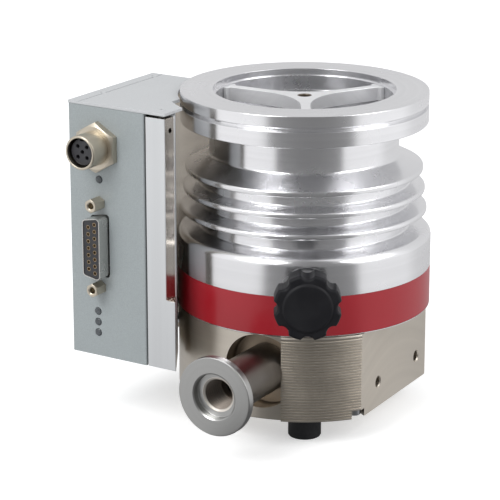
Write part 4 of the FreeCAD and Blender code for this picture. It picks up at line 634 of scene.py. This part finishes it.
black_rubber = moulded("black_rubber", (0.014, 0.014, 0.016), 0.55, 1500.0, 0.3, 0.06, 0.35)
foot = turned("foot", [
    (2.1, -122, 0), (3.6, -122, 0), (3.6, -127, 0.3), (5.9, -127, 0.3), (6.3, -126.4, 0.4),
    (6.3, -117, 0.2), (2.1, -117, 0)], 64)
rubber_feet = circle_of("rubber_feet_set", foot, 3, 36, 30, black_rubber)
settled(rubber_feet, "pump", "foot_rubber", black_rubber, "rubber_feet")
foot_screw = socket_screw("foot_screw", 3.4, 2.4, 2.0, 12.6, 1.5, at(0, 0, -122) @ turned_over)
foot_screws = circle_of("foot_screw_set", foot_screw, 3, 36, 30, screw_steel)
settled(foot_screws, "pump", "screw_steel", screw_steel, "foot_screws")
reservoir_cap = turned("reservoir_cap_turned", [
    (0, -110.5, 0), (11.6, -110.5, 0.2), (11.6, -112.1, 0), (14.2, -112.1, 0.2), (14.2, -116.7, 0.5),
    (0, -116.7, 0)], 96)
combined(reservoir_cap, square_block("coin_slot", (-11.2, -1, -118), (11.2, 1, -115.1)))
settled(reservoir_cap, "pump", "base_nickel", plated_nickel, "reservoir_cap")

# Foreline port
# A small clamp flange of satin stainless steel with a recess and a threaded bore, on a tube that
# narrows where it is pushed into the base.
# Below the flange face the port is painted darker: painted shade under the flange and on the tube, less deep
# in the threaded bore, where the second zone lifts the colour again.
satin_steel = shade_painted_in(turned_metal("satin_steel", (0.46, 0.46, 0.45), 0.3, 2600.0, 0.3, 0.1, port_place),
                       port_place, [(16, 77.0, (0.4, 0.37, 0.35)), (6.7, 78, (1.7, 1.6, 1.5))])
thread = []
for i in range(9):
    top = 77.3 - 1.33 * i
    thread += [(6.5, top, 0), (6.5, top - 0.15, 0), (5.7, top - 0.5, 0), (5.7, top - 0.68, 0)]
foreline_port = turned("foreline_port_turned", [
    (3.6, 36.5, 0), (5.2, 36.5, 0.3), (5.2, 41.03, 0), (9.2, 41.03, 0.3), (9.2, 75.7, 1.0), (15, 77.5, 0.3),
    (15, 80.5, 0.35), (9.1, 80.5, 0), (8.6, 80.1, 0),
    (8.6, 77.5, 0.3)] + thread + [(5.75, 65.5, 0), (3.6, 65.5, 0)], 128, port_place)
settled(foreline_port, "pump", "port_steel", satin_steel, "foreline_port")
port_screw = turned("port_screw_turned", [
    (0, 37.4, 0), (1.85, 37.4, 0.2), (1.85, 40.95, 0.3), (0, 40.95, 0)], 40, port_down)
combined(port_screw, square_block("screw_slot", (-0.3, -3, 40.2), (0.3, 3, 42), port_down))
settled(port_screw, "pump", "screw_steel", nickel_shaded_pocket, "port_screw")

# Vent valve
# A turned steel body screwed into the housing and a black moulded knob with eight finger hollows,
# which winds the spindle out and lifts the seal off its seat.
vent_steel = turned_metal("vent_steel", (0.6, 0.6, 0.61), 0.26, 2200.0, 0.2, 0.08, vent_place)
vent_body = turned("vent_body_turned", [
    (2, 39.1, 0), (4.4, 39.1, 0.2), (4.4, 47.63, 0), (8, 47.63, 0.2), (8, 57.8, 0.3), (7.2, 58.6, 0.3),
    (2.96, 58.6, 0), (2.96, 53.6, 0), (3.6, 53.6, 0), (3.6, 42.1, 0), (2, 42.1, 0)], 96, vent_place)
settled(vent_body, "pump", "holder_steel", vent_steel, "vent_body")
vent_spindle = turned("vent_spindle_turned", [
    (0, 44.1, 0), (1.8, 44.1, 0.2), (1.8, 51, 0.1), (2.9, 51, 0.3), (2.9, 67, 0), (0, 67, 0)], 64,
    vent_place)
settled(vent_spindle, "vent_knob_turn", "holder_steel", vent_steel, "vent_spindle")


def lobed_edge(turn):
    """Distance from the knob's axis to its rim: a circle with eight finger hollows and soft tips."""
    rim, hollow_radius, hollow_distance, soft_from = 12.5, 3.1, 14.0, 12.9
    step = math.radians(45)
    off = abs((turn + step / 2) % step - step / 2)
    hollow = hollow_radius ** 2 - (hollow_distance * math.sin(off)) ** 2
    if hollow <= 0:
        return rim
    reach = hollow_distance * math.cos(off) - math.sqrt(hollow)
    blend = max(0.0, min(1.0, soft_from - reach))
    return min(rim, reach * blend + rim * (1 - blend))


def knob_mesh():
    """The knob as rings that follow the lobed rim and end in a round raised face."""
    maker = bmesh.new()
    steps = 256
    turns = [2 * math.pi * k / steps for k in range(steps)]
    lobed = [
        (1.6, 60.45), (0.7, 61.0), (0.15, 61.9), (0, 62.8), (0, 70.0), (0.12, 70.5), (0.4, 70.9),
        (0.8, 71.15), (1.2, 71.2)]
    plain = [(9.4, 71.2), (9.25, 71.25), (8.9, 71.75), (8.5, 71.98), (8.1, 72.0)]
    forms = [([lobed_edge(turn) - inset for turn in turns], along) for inset, along in lobed]
    forms += [([radius] * steps, along) for radius, along in plain]
    rings = [[maker.verts.new((radius * MM * math.cos(turn), radius * MM * math.sin(turn),
                               along * MM)) for radius, turn in zip(radii, turns)] for radii,
             along in forms]
    for low, high in zip(rings, rings[1:]):
        for k in range(steps):
            maker.faces.new((low[k], low[(k + 1) % steps], high[(k + 1) % steps], high[k]))
    tip = maker.verts.new((0, 0, 72.0 * MM))
    foot = maker.verts.new((0, 0, 60.4 * MM))
    for k in range(steps):
        maker.faces.new((rings[-1][k], rings[-1][(k + 1) % steps], tip))
        maker.faces.new((rings[0][(k + 1) % steps], rings[0][k], foot))
    return maker


black_plastic = moulded("black_plastic", (0.008, 0.008, 0.01), 0.5, 2600.0, 0.12, 0.03, 0.2)
vent_knob = made_from("vent_knob_moulded", knob_mesh(), vent_place)
bored(vent_knob, 2.93, 50, 67.03, vent_place, 48)
settled(vent_knob, "vent_knob_turn", "knob_plastic", black_plastic, "vent_knob")

# Controller bracket
# Milled aluminium beside the panel: its face is drawn to a satin strip, a slanted side runs back from
# it, and the hollow wall that follows the pump is polished, so the fins and the band mirror in it.
brushed_lines, given, out = effect("brushed lines", [
    ("Position", "NodeSocketVector", None), ("Lines per metre", "NodeSocketFloat", 3000.0)],
    [("Height", "NodeSocketFloat"), ("Tone", "NodeSocketFloat")])
parts = added(brushed_lines, "ShaderNodeSeparateXYZ", Vector=given["Position"])
drawn = added(brushed_lines, "ShaderNodeCombineXYZ", X=parts.outputs["X"], Y=parts.outputs["Y"],
              Z=computed(brushed_lines, "MULTIPLY", parts.outputs["Z"], 0.01))
for scale, name in ((given["Lines per metre"], "Height"), (300.0, "Tone")):
    brushed_lines.links.new(noise(brushed_lines, drawn.outputs[0], scale), out[name])


case_place = about_axis(-32.5)
case_side, case_back, case_bottom, panel_face, wall_radius = -69.7, -1.2, -101.5, -57.2, 52.1


def drawn_metal(name, colour, roughness, depth=0.1, lines_per_metre=3000.0, depths=None):
    """Sheet or bar with fine upright lines. Depths give rows of (share of the way back from the panel's
    face, tint, (roughness, metallic, 0)): the sides behind the front face get their own roughness and
    metallic, and their tint is a painted reflection in their colour."""
    finish, tree, shader, position, hands = new_finish(name, 0.015)
    marks = added(tree, "ShaderNodeGroup", {"node_tree": brushed_lines}, Position=position,
                  Lines_per_metre=lines_per_metre)
    tone = mixed(tree, marks.outputs["Tone"], [0.92 * c for c in colour], [min(1, 1.05 * c) for c in colour])
    dull = spanned(tree, hands.outputs["Mask"], low=roughness, high=roughness + 0.08)
    linked(tree, shader, tone, dull, marks.outputs["Height"], depth, TOOL_MARK)
    shader.inputs["Metallic"].default_value = 1.0
    if depths:
        way_back = added(tree, "ShaderNodeSeparateXYZ", Vector=seen_from(tree, position, case_place))
        reach = spanned(tree, way_back.outputs["Y"], panel_face * MM, (panel_face + 20) * MM)
        ramps = []
        for column in (1, 2):
            ramps.append(added(tree, "ShaderNodeValToRGB", Fac=reach))
            stops = ramps[-1].color_ramp.elements
            for i, row in enumerate(depths):
                stop = stops[0] if i == 0 else stops[-1] if i == len(depths) - 1 else stops.new(row[0])
                stop.position = row[0]
                stop.color = (*row[column], 1)
        split = added(tree, "ShaderNodeSeparateColor", Color=ramps[1].outputs["Color"])
        tinted = mixed(tree, 1.0, tone, ramps[0].outputs["Color"], "MULTIPLY")
        linked(tree, shader, tinted, split.outputs["Red"])
        tree.links.new(split.outputs["Green"], shader.inputs["Metallic"])
    return finish


# The slanted side and the hollow wall are tinted a darker brown: painted reflection, standing in for the
# warm, dim surroundings they mirror.
face, side, wall, recess = (0.32, 1, 0), (0.24, 1, 0), (0.24, 0.8, 0), (0.5, 0.1, 0)
white, side_reflection_tint, wall_reflection_tint = (1, 1, 1), (0.62, 0.56, 0.49), (0.75, 0.66, 0.55)
satin_bracket = drawn_metal("satin_bracket", (0.72, 0.735, 0.745), 0.3, depths=[
    (0.0, white, face), (0.012, white, face), (0.02, side_reflection_tint, side), (0.29, side_reflection_tint, side),
    (0.31, white, recess), (0.76, white, recess), (0.8, wall_reflection_tint, wall), (1.0, wall_reflection_tint, wall)])
front_form = [
    (-34.2, case_bottom), (-21.5, case_bottom), (-21.5, -74), (-25.5, -74), (-25.5, -4.1), (-34.2, -4.1)]
controller_bracket = milled_plate("controller_bracket_milled", front_form, 32.2, -panel_face, 0.35)
controller_bracket.data.transform(facing_front)
combined(controller_bracket, milled_plate("slanted_side", [(-21.3, -57.3), (-34.4, -36.5), (-10, -36.5),
                                                           (-10, -57.3)], -110, 0, 0))
bracket_curve = turned("bracket_curve", [
    (wall_radius, case_bottom), (wall_radius + 3, case_bottom), (wall_radius + 3, -3.5),
    (wall_radius, -3.5)], 256)
combined(bracket_curve, square_block("wall_area", (-67.7, -40.2, -110), (-33.6, 16, 0)), "INTERSECT")
combined(controller_bracket, bracket_curve, "UNION")
bored(controller_bracket, wall_radius, -73.99, 0, None, 256)
bored(controller_bracket, 50.0, -110, -73.98, None, 256)
combined(controller_bracket, turned("side_screw_way", [(0, 10), (0.9, 10), (1.1, 20), (0, 20)], 24,
                                    at(-42, -53.6, -9) @ along_axis(0)))
for side in (-11, 11):
    bored(controller_bracket, 2.1, 40, 60, along_axis(197.5 + side, 0, -93))
settled(controller_bracket, "pump", "bracket_aluminium", satin_bracket, "controller_bracket", crease=30,
        place=case_place)

# Controller case and cover
# Folded sheet, powder coated blue-grey. The top cover is a lighter grey and keeps clear of the flange;
# its three screws are flush with it and painted over.
def coated_sheet(name, colour, roughness, speckle=0.06):
    """Powder coat: a fine orange peel, tiny lighter and darker specks and slightly rubbed patches."""
    finish, tree, shader, position, hands = new_finish(name, 0.025)
    specks = spanned(tree, noise(tree, position, 2400.0, 1.0), 0.35, 0.65)
    tone = mixed(tree, specks, [c * (1 - speckle) for c in colour],
                 [min(1, c * (1 + speckle)) for c in colour])
    dull = spanned(tree, hands.outputs["Mask"], low=roughness, high=roughness - 0.07)
    linked(tree, shader, tone, dull, noise(tree, position, 1300.0), 0.18)
    return finish


blue_grey_coat = coated_sheet("blue_grey_coat", (0.3, 0.33, 0.337), 0.42)
controller_case = square_block("controller_case_folded", (case_side, -54.9, case_bottom),
                               (-35.2, case_back, -3.5), rim=0.5)
combined(controller_case, square_block("case_inside", (-68.1, -60, -99.9), (0, -2.8, 0)))
combined(controller_case, square_block("case_lip", (-68.9, -54.6, -5.1), (-61.9, -1.6, -3.52)), "UNION")
bored(controller_case, 55.4, -110, 0, None, 256)
for across, deep in ((-65.7, -41.2), (-65.7, -7.2)):
    bored(controller_case, 1.13, -8, 0, at(across, deep), 24)
settled(controller_case, "pump", "case_paint", blue_grey_coat, "controller_case", crease=30,
        place=case_place)

light_grey_coat = coated_sheet("light_grey_coat", (0.50, 0.51, 0.52), 0.45, 0.04)
controller_cover = square_block("controller_cover_plate", (case_side, panel_face, -3.2),
                                (-25.5, case_back, -2), rim=0.25)
bored(controller_cover, 48.3, -10, 0, None, 256)
tip_room = round_bar(wall_radius, -10, 0, None, 256)
combined(tip_room, square_block("tip_area", (-34.6, -60, -9), (0, -30, 1)), "INTERSECT")
combined(controller_cover, tip_room)
combined(controller_cover, square_block("seam", (-64.7, -57.3, -2.25), (-64.15, -1.0, -1)))
cover_spots = [(-65.7, -41.2), (-65.7, -7.2), (-29.9, -52.7)]
for across, deep in cover_spots:
    bored(controller_cover, 1.2, -5, 0, at(across, deep))
settled(controller_cover, "pump", "cover_paint", light_grey_coat, "controller_cover", crease=30,
        place=case_place)
cover_screws = []
for across, deep in cover_spots:
    screw = turned("cover_screw", [
        (0, -6.5, 0), (1.1, -6.5, 0.2), (1.1, -2, 0), (1.8, -2, 0), (1.8, -1.95, 0), (1.2, -1.8, 0.2),
        (0, -1.78, 0)], 40)
    for turn in (0, 90):
        combined(screw, square_block("cross", (-0.8, -0.14, -2.1), (0.8, 0.14, -1), about_axis(turn + 20)))
    screw.data.transform(at(across, deep))
    cover_screws.append(screw)
settled(united("cover_screws_set", cover_screws), "pump", "screw_steel", light_grey_coat, "cover_screws",
        place=case_place)

# Front panel
# A blue-grey coated plate with rounded upright edges, on four standoffs that hold the circuit board.
socket_line = -55.7
socket_level = -18.4
data_level = -57
jack_levels = (-73.65, -40.35)
panel_front = at(socket_line, panel_face) @ facing_front
panel_edge = rounded([
    (case_side, panel_face, 1.3), (-34.9, panel_face, 0.6), (-34.9, -55.2, 0), (case_side, -55.2, 0)])
controller_panel = milled_plate("controller_panel_plate", panel_edge, case_bottom, -3.22, 0)
for level in (-10, -93.5):
    for across in (-63.7, -41.9):
        standoff = round_bar(2.4, -11, -1.5, at(across, panel_face, level) @ facing_front)
        combined(controller_panel, standoff, "UNION")


def slanted_form(name, grow, back, front, corner):
    """The data socket's four-sided form: the side to the left is the shorter one."""
    half, side, slant = 12.35 + grow, 3.95 + grow, 7.9 * math.tan(math.radians(10))
    edge = rounded([
        (-side, -half + slant, corner), (side, -half, corner), (side, half, corner),
        (-side, half - slant, corner)])
    made = milled_plate(name, edge, back, front, 0)
    made.data.transform(panel_front)
    made.data.transform(at(0, 0, data_level))
    return made


def on_panel(across, level):
    """The place of a piece that stands square on the panel's face."""
    return at(across - socket_line, 0, level) @ panel_front


def panel_hole(radius, across, level, edge=0.0):
    """A round hole through the panel, seen from its front, with a small broken edge."""
    return turned("panel_hole", [
        (0, -4), (radius, -4), (radius, -edge), (radius + edge, 0), (radius + edge, 1), (0, 1)], 48,
        on_panel(across, level))


light_spots = [(-55.7, -31.2), (-57.3, -83.7), (-57.3, -87.95), (-57.3, -92.2)]
combined(controller_panel, panel_hole(6.35, socket_line, socket_level))
combined(controller_panel, slanted_form("data_hole", 0.4, -5, 2, 1.3))
for level in jack_levels:
    combined(controller_panel, panel_hole(1.5, socket_line, level))
for across, level in light_spots:
    combined(controller_panel, panel_hole(1.5, across, level, 0.15))
settled(controller_panel, "pump", "case_paint", blue_grey_coat, "controller_panel", crease=30,
        place=case_place)

# Power socket
# A nickel-plated brass shell through the panel, held by a six-sided nut; the black insert sits deep
# inside it and has one keyway and a ring of contact holes.
warm_nickel = turned_metal("warm_nickel", (0.60, 0.545, 0.45), 0.3, 1800.0, 0.2, 0.12,
                           case_place @ panel_front)
socket_place = case_place @ on_panel(socket_line, socket_level)
power_socket = turned("power_socket_shell", [
    (0, -6, 0), (6.2, -6, 0.2), (6.2, 3.2, 0), (6.6, 3.22, 0.1), (6.6, 11.6, 0.35), (6.2, 12, 0.25),
    (5.6, 12, 0.25), (5.6, -4.5, 0), (0, -4.5, 0)], 128, socket_place)
settled(power_socket, "pump", "socket_metal", warm_nickel, "power_socket")
power_socket_nut = milled_plate("power_socket_nut_six", spaced(6, 9.815, 90), 0, 3.2, 0)
dished = turned("dished", [(0, -1), (12, -1), (12, 1.9), (9.815, 2.1), (8.2, 3.2), (8.2, 4), (0, 4)], 128)
combined(power_socket_nut, dished, "INTERSECT")
bored(power_socket_nut, 6.23, -2, 5, None, 96)
settled(power_socket_nut, "pump", "socket_metal", warm_nickel, "power_socket_nut", crease=25,
        place=socket_place)
insert_face = 10.2
power_socket_insert = turned("power_socket_insert_moulded", [
    (0, -4.47, 0), (5.1, -4.47, 0), (5.1, insert_face, 0.3), (0, insert_face, 0)], 96)
combined(power_socket_insert, square_block("keyway", (-0.9, 4.2, insert_face - 5),
                                           (0.9, 6, insert_face + 1)))
for x, y in [(0, 0)] + spaced(4, 2.9, 45):
    combined(power_socket_insert, turned("contact", [
        (0, insert_face - 3), (0.75, insert_face - 3), (0.75, insert_face - 0.15), (0.9, insert_face),
        (0.9, insert_face + 1), (0, insert_face + 1)], 24, at(x, y)))
socket_plastic = moulded("socket_plastic", (0.02, 0.02, 0.024), 0.45, 2600.0, 0.12, 0.12, 0.5)
settled(power_socket_insert, "pump", "insert_plastic", socket_plastic, "power_socket_insert",
        place=socket_place)

# Data socket
# A drawn sheet shell, tin plated, round a black insert with two rows of gilt contact sleeves, and a
# six-sided jack screw above and below it.
tinned_sheet = drawn_metal("tinned_sheet", (0.62, 0.61, 0.585), 0.24, 0.05)
shell_front = 6.0
data_socket_shell = slanted_form("data_socket_shell_drawn", 0, -2.03, shell_front, 1.5)
flange = milled_plate("flange", rounded([
    (-6, -19.25, 1), (6, -19.25, 1), (6, 19.25, 1), (-6, 19.25, 1)]), -2.83, -2.03, 0)
flange.data.transform(at(0, 0, data_level) @ panel_front)
combined(data_socket_shell, flange, "UNION")
combined(data_socket_shell, slanted_form("shell_room", -0.32, -8, 9, 1.2))
for level in jack_levels:
    combined(data_socket_shell, panel_hole(1.5, socket_line, level))
settled(data_socket_shell, "pump", "socket_metal", tinned_sheet, "data_socket_shell", crease=30,
        place=case_place)


def contact_holes(name, back, front, radius):
    """Fifteen round bars in two rows, grown on a grid of points, square to the panel."""
    def build(tree, given):
        both = tree.nodes.new("GeometryNodeJoinGeometry")
        middle = (back + front) / 2 * MM
        for count, across in ((8, 1.42), (7, -1.42)):
            reach = computed(tree, "MULTIPLY", given["Pitch"], (count - 1) / 2)
            low = computed(tree, "MULTIPLY", reach, -1.0)
            start, end = [added(tree, "ShaderNodeCombineXYZ", X=across * MM, Y=along,
                                Z=middle).outputs[0] for along in (low, reach)]
            line = added(tree, "GeometryNodeMeshLine", {"mode": "END_POINTS"}, Count=count,
                         Start_Location=start, Offset=end)
            tree.links.new(line.outputs[0], both.inputs[0])
        bar = added(tree, "GeometryNodeMeshCylinder", Vertices=16, Radius=given["Radius"],
                    Depth=given["Depth"])
        return added(tree, "GeometryNodeInstanceOnPoints", Points=both.outputs[0],
                     Instance=bar.outputs[0]).outputs[0]

    made = grown_by_nodes(name, [
        ("Pitch", "NodeSocketFloat", 2.74 * MM), ("Radius", "NodeSocketFloat", radius * MM), ("Depth",
        "NodeSocketFloat", (front - back) * MM)], build, black_plastic)
    made.data.transform(at(0, 0, data_level) @ panel_front)
    return made


data_socket_insert = slanted_form("data_socket_insert_moulded", -0.35, -10.7, shell_front - 0.3, 1.1)
combined(data_socket_insert, contact_holes("holes", shell_front - 3.5, shell_front + 1, 0.8))
settled(data_socket_insert, "pump", "insert_plastic", socket_plastic, "data_socket_insert", crease=30,
        place=case_place)
gilt = turned_metal("gilt_contacts", (0.5, 0.38, 0.24), 0.35, 900.0, 0.1)
sleeves = contact_holes("data_contact_sleeves", shell_front - 3.4, shell_front - 0.35, 0.78)
combined(sleeves, contact_holes("sleeve_bores", shell_front - 3, shell_front, 0.6))
settled(sleeves, "pump", "insert_plastic", gilt, place=case_place)
jacks = []
for level in jack_levels:
    jack = milled_plate("jack", spaced(6, 2.77, 90), 0.03, 6, 0)
    combined(jack, turned("jack_form", [(0, 0), (2.9, 0), (2.9, 5.4), (2.3, 6), (0, 6)], 64), "INTERSECT")
    combined(jack, round_bar(1.4, -5, 0.5), "UNION")
    combined(jack, turned("jack_bore", [(0, 1.5), (1.2, 1.5), (1.2, 5.6), (1.6, 6.0), (1.6, 7), (0, 7)], 32))
    jack.data.transform(case_place @ on_panel(socket_line, level))
    jacks.append(jack)
settled(united("jack_screws_pair", jacks), "pump", "screw_steel", warm_nickel, "jack_screws", crease=30)

# Status lights
# Four dark lenses, unlit: clear grey plastic pins that end just proud of the panel.
dark_lens, tree, shader, position, hands = new_finish("dark_lens", 0.0015)
linked(tree, shader, mixed(tree, hands.outputs["Mask"], (0.055, 0.062, 0.068), (0.085, 0.093, 0.10)))
shader.inputs["Roughness"].default_value = 0.22
lenses = []
for across, level in light_spots:
    lenses.append(turned("lens", [
        (0, -10.7, 0), (1.4, -10.7, 0), (1.4, 0.05, 0.1), (1.15, 0.25, 0.2), (0, 0.3, 0)], 32,
        case_place @ on_panel(across, level)))
settled(united("status_lenses", lenses), "pump", "light_lens", dark_lens, "status_lights")

# Pieces inside
# They keep their CAD shape. Each gets the finish of its real material: ground steel, milled and
# turned aluminium, iron laminations, enamelled copper wire, ceramic, felt and sealing rubber.
ground_steel = turned_metal("ground_steel", (0.55, 0.56, 0.58), 0.2, 2600.0, 0.1)
laminated_iron = turned_metal("laminated_iron", (0.22, 0.23, 0.25), 0.5, 2000.0, 0.6)
copper_wire = turned_metal("copper_wire", (0.62, 0.26, 0.11), 0.35, 1600.0, 0.8)
seal_rubber = moulded("seal_rubber", (0.015, 0.015, 0.016), 0.45, 2200.0, 0.1, 0.08)
wool_felt = moulded("wool_felt", (0.52, 0.5, 0.44), 0.95, 900.0, 0.9, 0.1)
board_green = coated_sheet("board_green", (0.02, 0.13, 0.05), 0.35, 0.15)
ceramic = moulded("ceramic", (0.05, 0.05, 0.055), 0.12, 3000.0, 0.02, 0.02)
cage_polymer = moulded("cage_polymer", (0.3, 0.2, 0.09), 0.5, 1400.0, 0.3, 0.05)
inside = {
    ground_steel: ["safety_bearing", "bearing_outer_ring", "bearing_inner_ring", "shaft_nut",
                   "bearing_holder"],
    blade_metal: ["stator_disc_%d" % i for i in range(1, 5)] + ["rotor_disc_%d" % i for i in range(2, 6)],
    rotor_metal: ["spacer_ring_%d" % i for i in range(1, 5)] + ["holweck_stator", "holweck_sleeve"],
    magnet_metal: ["motor_magnet"], laminated_iron: ["motor_core"], copper_wire: ["motor_windings"],
    seal_rubber: ["base_seal", "cap_seal", "port_seal", "vent_seal"], wool_felt: ["oil_felt"],
    board_green: ["circuit_board"], screw_steel: ["bracket_screws"], ceramic: ["bearing_balls"],
    cage_polymer: ["bearing_cage"]}
for finish, names in inside.items():
    for name in names:
        solid = bpy.data.objects[name]
        solid.data.materials.clear()
        solid.data.materials.append(finish)

# Table and studio
# A pale table that shows the pump's shadow, two soft lamps and a bright room whose darker front side
# gives the metal its bands. The camera sees only white behind the pump.
table_height = cad_box[0][2]
bpy.ops.mesh.primitive_plane_add(size=8, location=(0, 0, table_height))
table = bpy.context.object
table.name = "table"


def room_bands(tree, direction):
    """Brightness round the room by azimuth: a dim front between two bright sides, plainer behind."""
    parts, flat = split_level(tree, direction)
    flat = added(tree, "ShaderNodeVectorMath", {"operation": "NORMALIZE"}, Vector=flat)
    straight_back = (-0.087, 0.996, 0)
    turn = added(tree, "ShaderNodeVectorMath", {"operation": "DOT_PRODUCT"}, i0=flat.outputs[0],
                 i1=straight_back)
    ramp = added(tree, "ShaderNodeValToRGB", Fac=spanned(tree, turn.outputs["Value"], -1.0, 1.0))
    stops = ramp.color_ramp.elements
    for spot, shade in ((0.0, 0.22), (0.1, 0.3), (0.125, 0.95), (0.5, 1.0), (0.65, 0.8), (1.0, 0.7)):
        stop = stops.new(spot) if spot not in (0.0, 1.0) else stops[0 if spot == 0.0 else -1]
        stop.color = (shade, shade, 1.01 * shade, 1)
    return ramp.outputs["Color"]


pale_table = bpy.data.materials.new("pale_table")
pale_table.use_nodes = True
tree = pale_table.node_tree
shader = tree.nodes["Principled BSDF"]
shader.inputs["Base Color"].default_value = (0.8, 0.8, 0.8, 1)
shader.inputs["Roughness"].default_value = 0.9
shader.inputs["Emission Color"].default_value = (1, 1, 1, 1)
ray = added(tree, "ShaderNodeLightPath").outputs
tree.links.new(computed(tree, "MULTIPLY", ray["Is Camera Ray"], 0.45), shader.inputs["Emission Strength"])
# In reflections the table is a glow, not a lit surface: it repeats the room's bands and dims towards the
# pump, a painted shade that stands in for the pump's shadow on it.
spot = added(tree, "ShaderNodeTexCoord").outputs["Object"]
glow_in_reflections = added(tree, "ShaderNodeEmission", Color=room_bands(tree, spot),
                 Strength=spanned(tree, length_of(tree, spot), 0.06, 0.45, 0.68, 1.0))
mix = added(tree, "ShaderNodeMixShader", i0=ray["Is Glossy Ray"], i1=shader.outputs[0],
            i2=glow_in_reflections.outputs[0])
tree.links.new(mix.outputs[0], tree.nodes["Material Output"].inputs["Surface"])
table.data.materials.append(pale_table)

studio = bpy.data.worlds.new("studio")
bpy.context.scene.world = studio
studio.use_nodes = True
tree = studio.node_tree
bands = room_bands(tree, added(tree, "ShaderNodeTexCoord").outputs["Generated"])
ray = added(tree, "ShaderNodeLightPath").outputs
lit = mixed(tree, ray["Is Diffuse Ray"], bands, (0.62, 0.63, 0.64))
tree.links.new(mixed(tree, ray["Is Camera Ray"], lit, (1, 1, 1)), tree.nodes["Background"].inputs["Color"])

for name, place, aim, size, watts in (
        ("key_lamp", (-0.9, -0.9, 1.1), (0, 0, -0.05), 0.9, 16.0),
        ("fill_lamp", (1.1, -0.5, 0.8), (0, 0, -0.05), 0.9, 8.0)):
    lamp = bpy.data.lights.new(name, "AREA")
    lamp.size = size
    lamp.energy = watts
    holder = bpy.data.objects.new(name, lamp)
    holder.location = place
    holder.rotation_euler = (Vector(aim) - Vector(place)).to_track_quat("-Z", "Y").to_euler()
    bpy.context.scene.collection.objects.link(holder)

camera = bpy.data.cameras.new("camera")
camera.sensor_width = 36
camera.lens = 169.6
viewpoint = bpy.data.objects.new("camera", camera)
viewpoint.location = (-0.02079, -0.87679, 0.19781)
viewpoint.rotation_euler = (math.radians(73.35), 0, 0)
bpy.context.scene.collection.objects.link(viewpoint)
bpy.context.scene.camera = viewpoint
bpy.context.scene.view_settings.view_transform = "Standard"
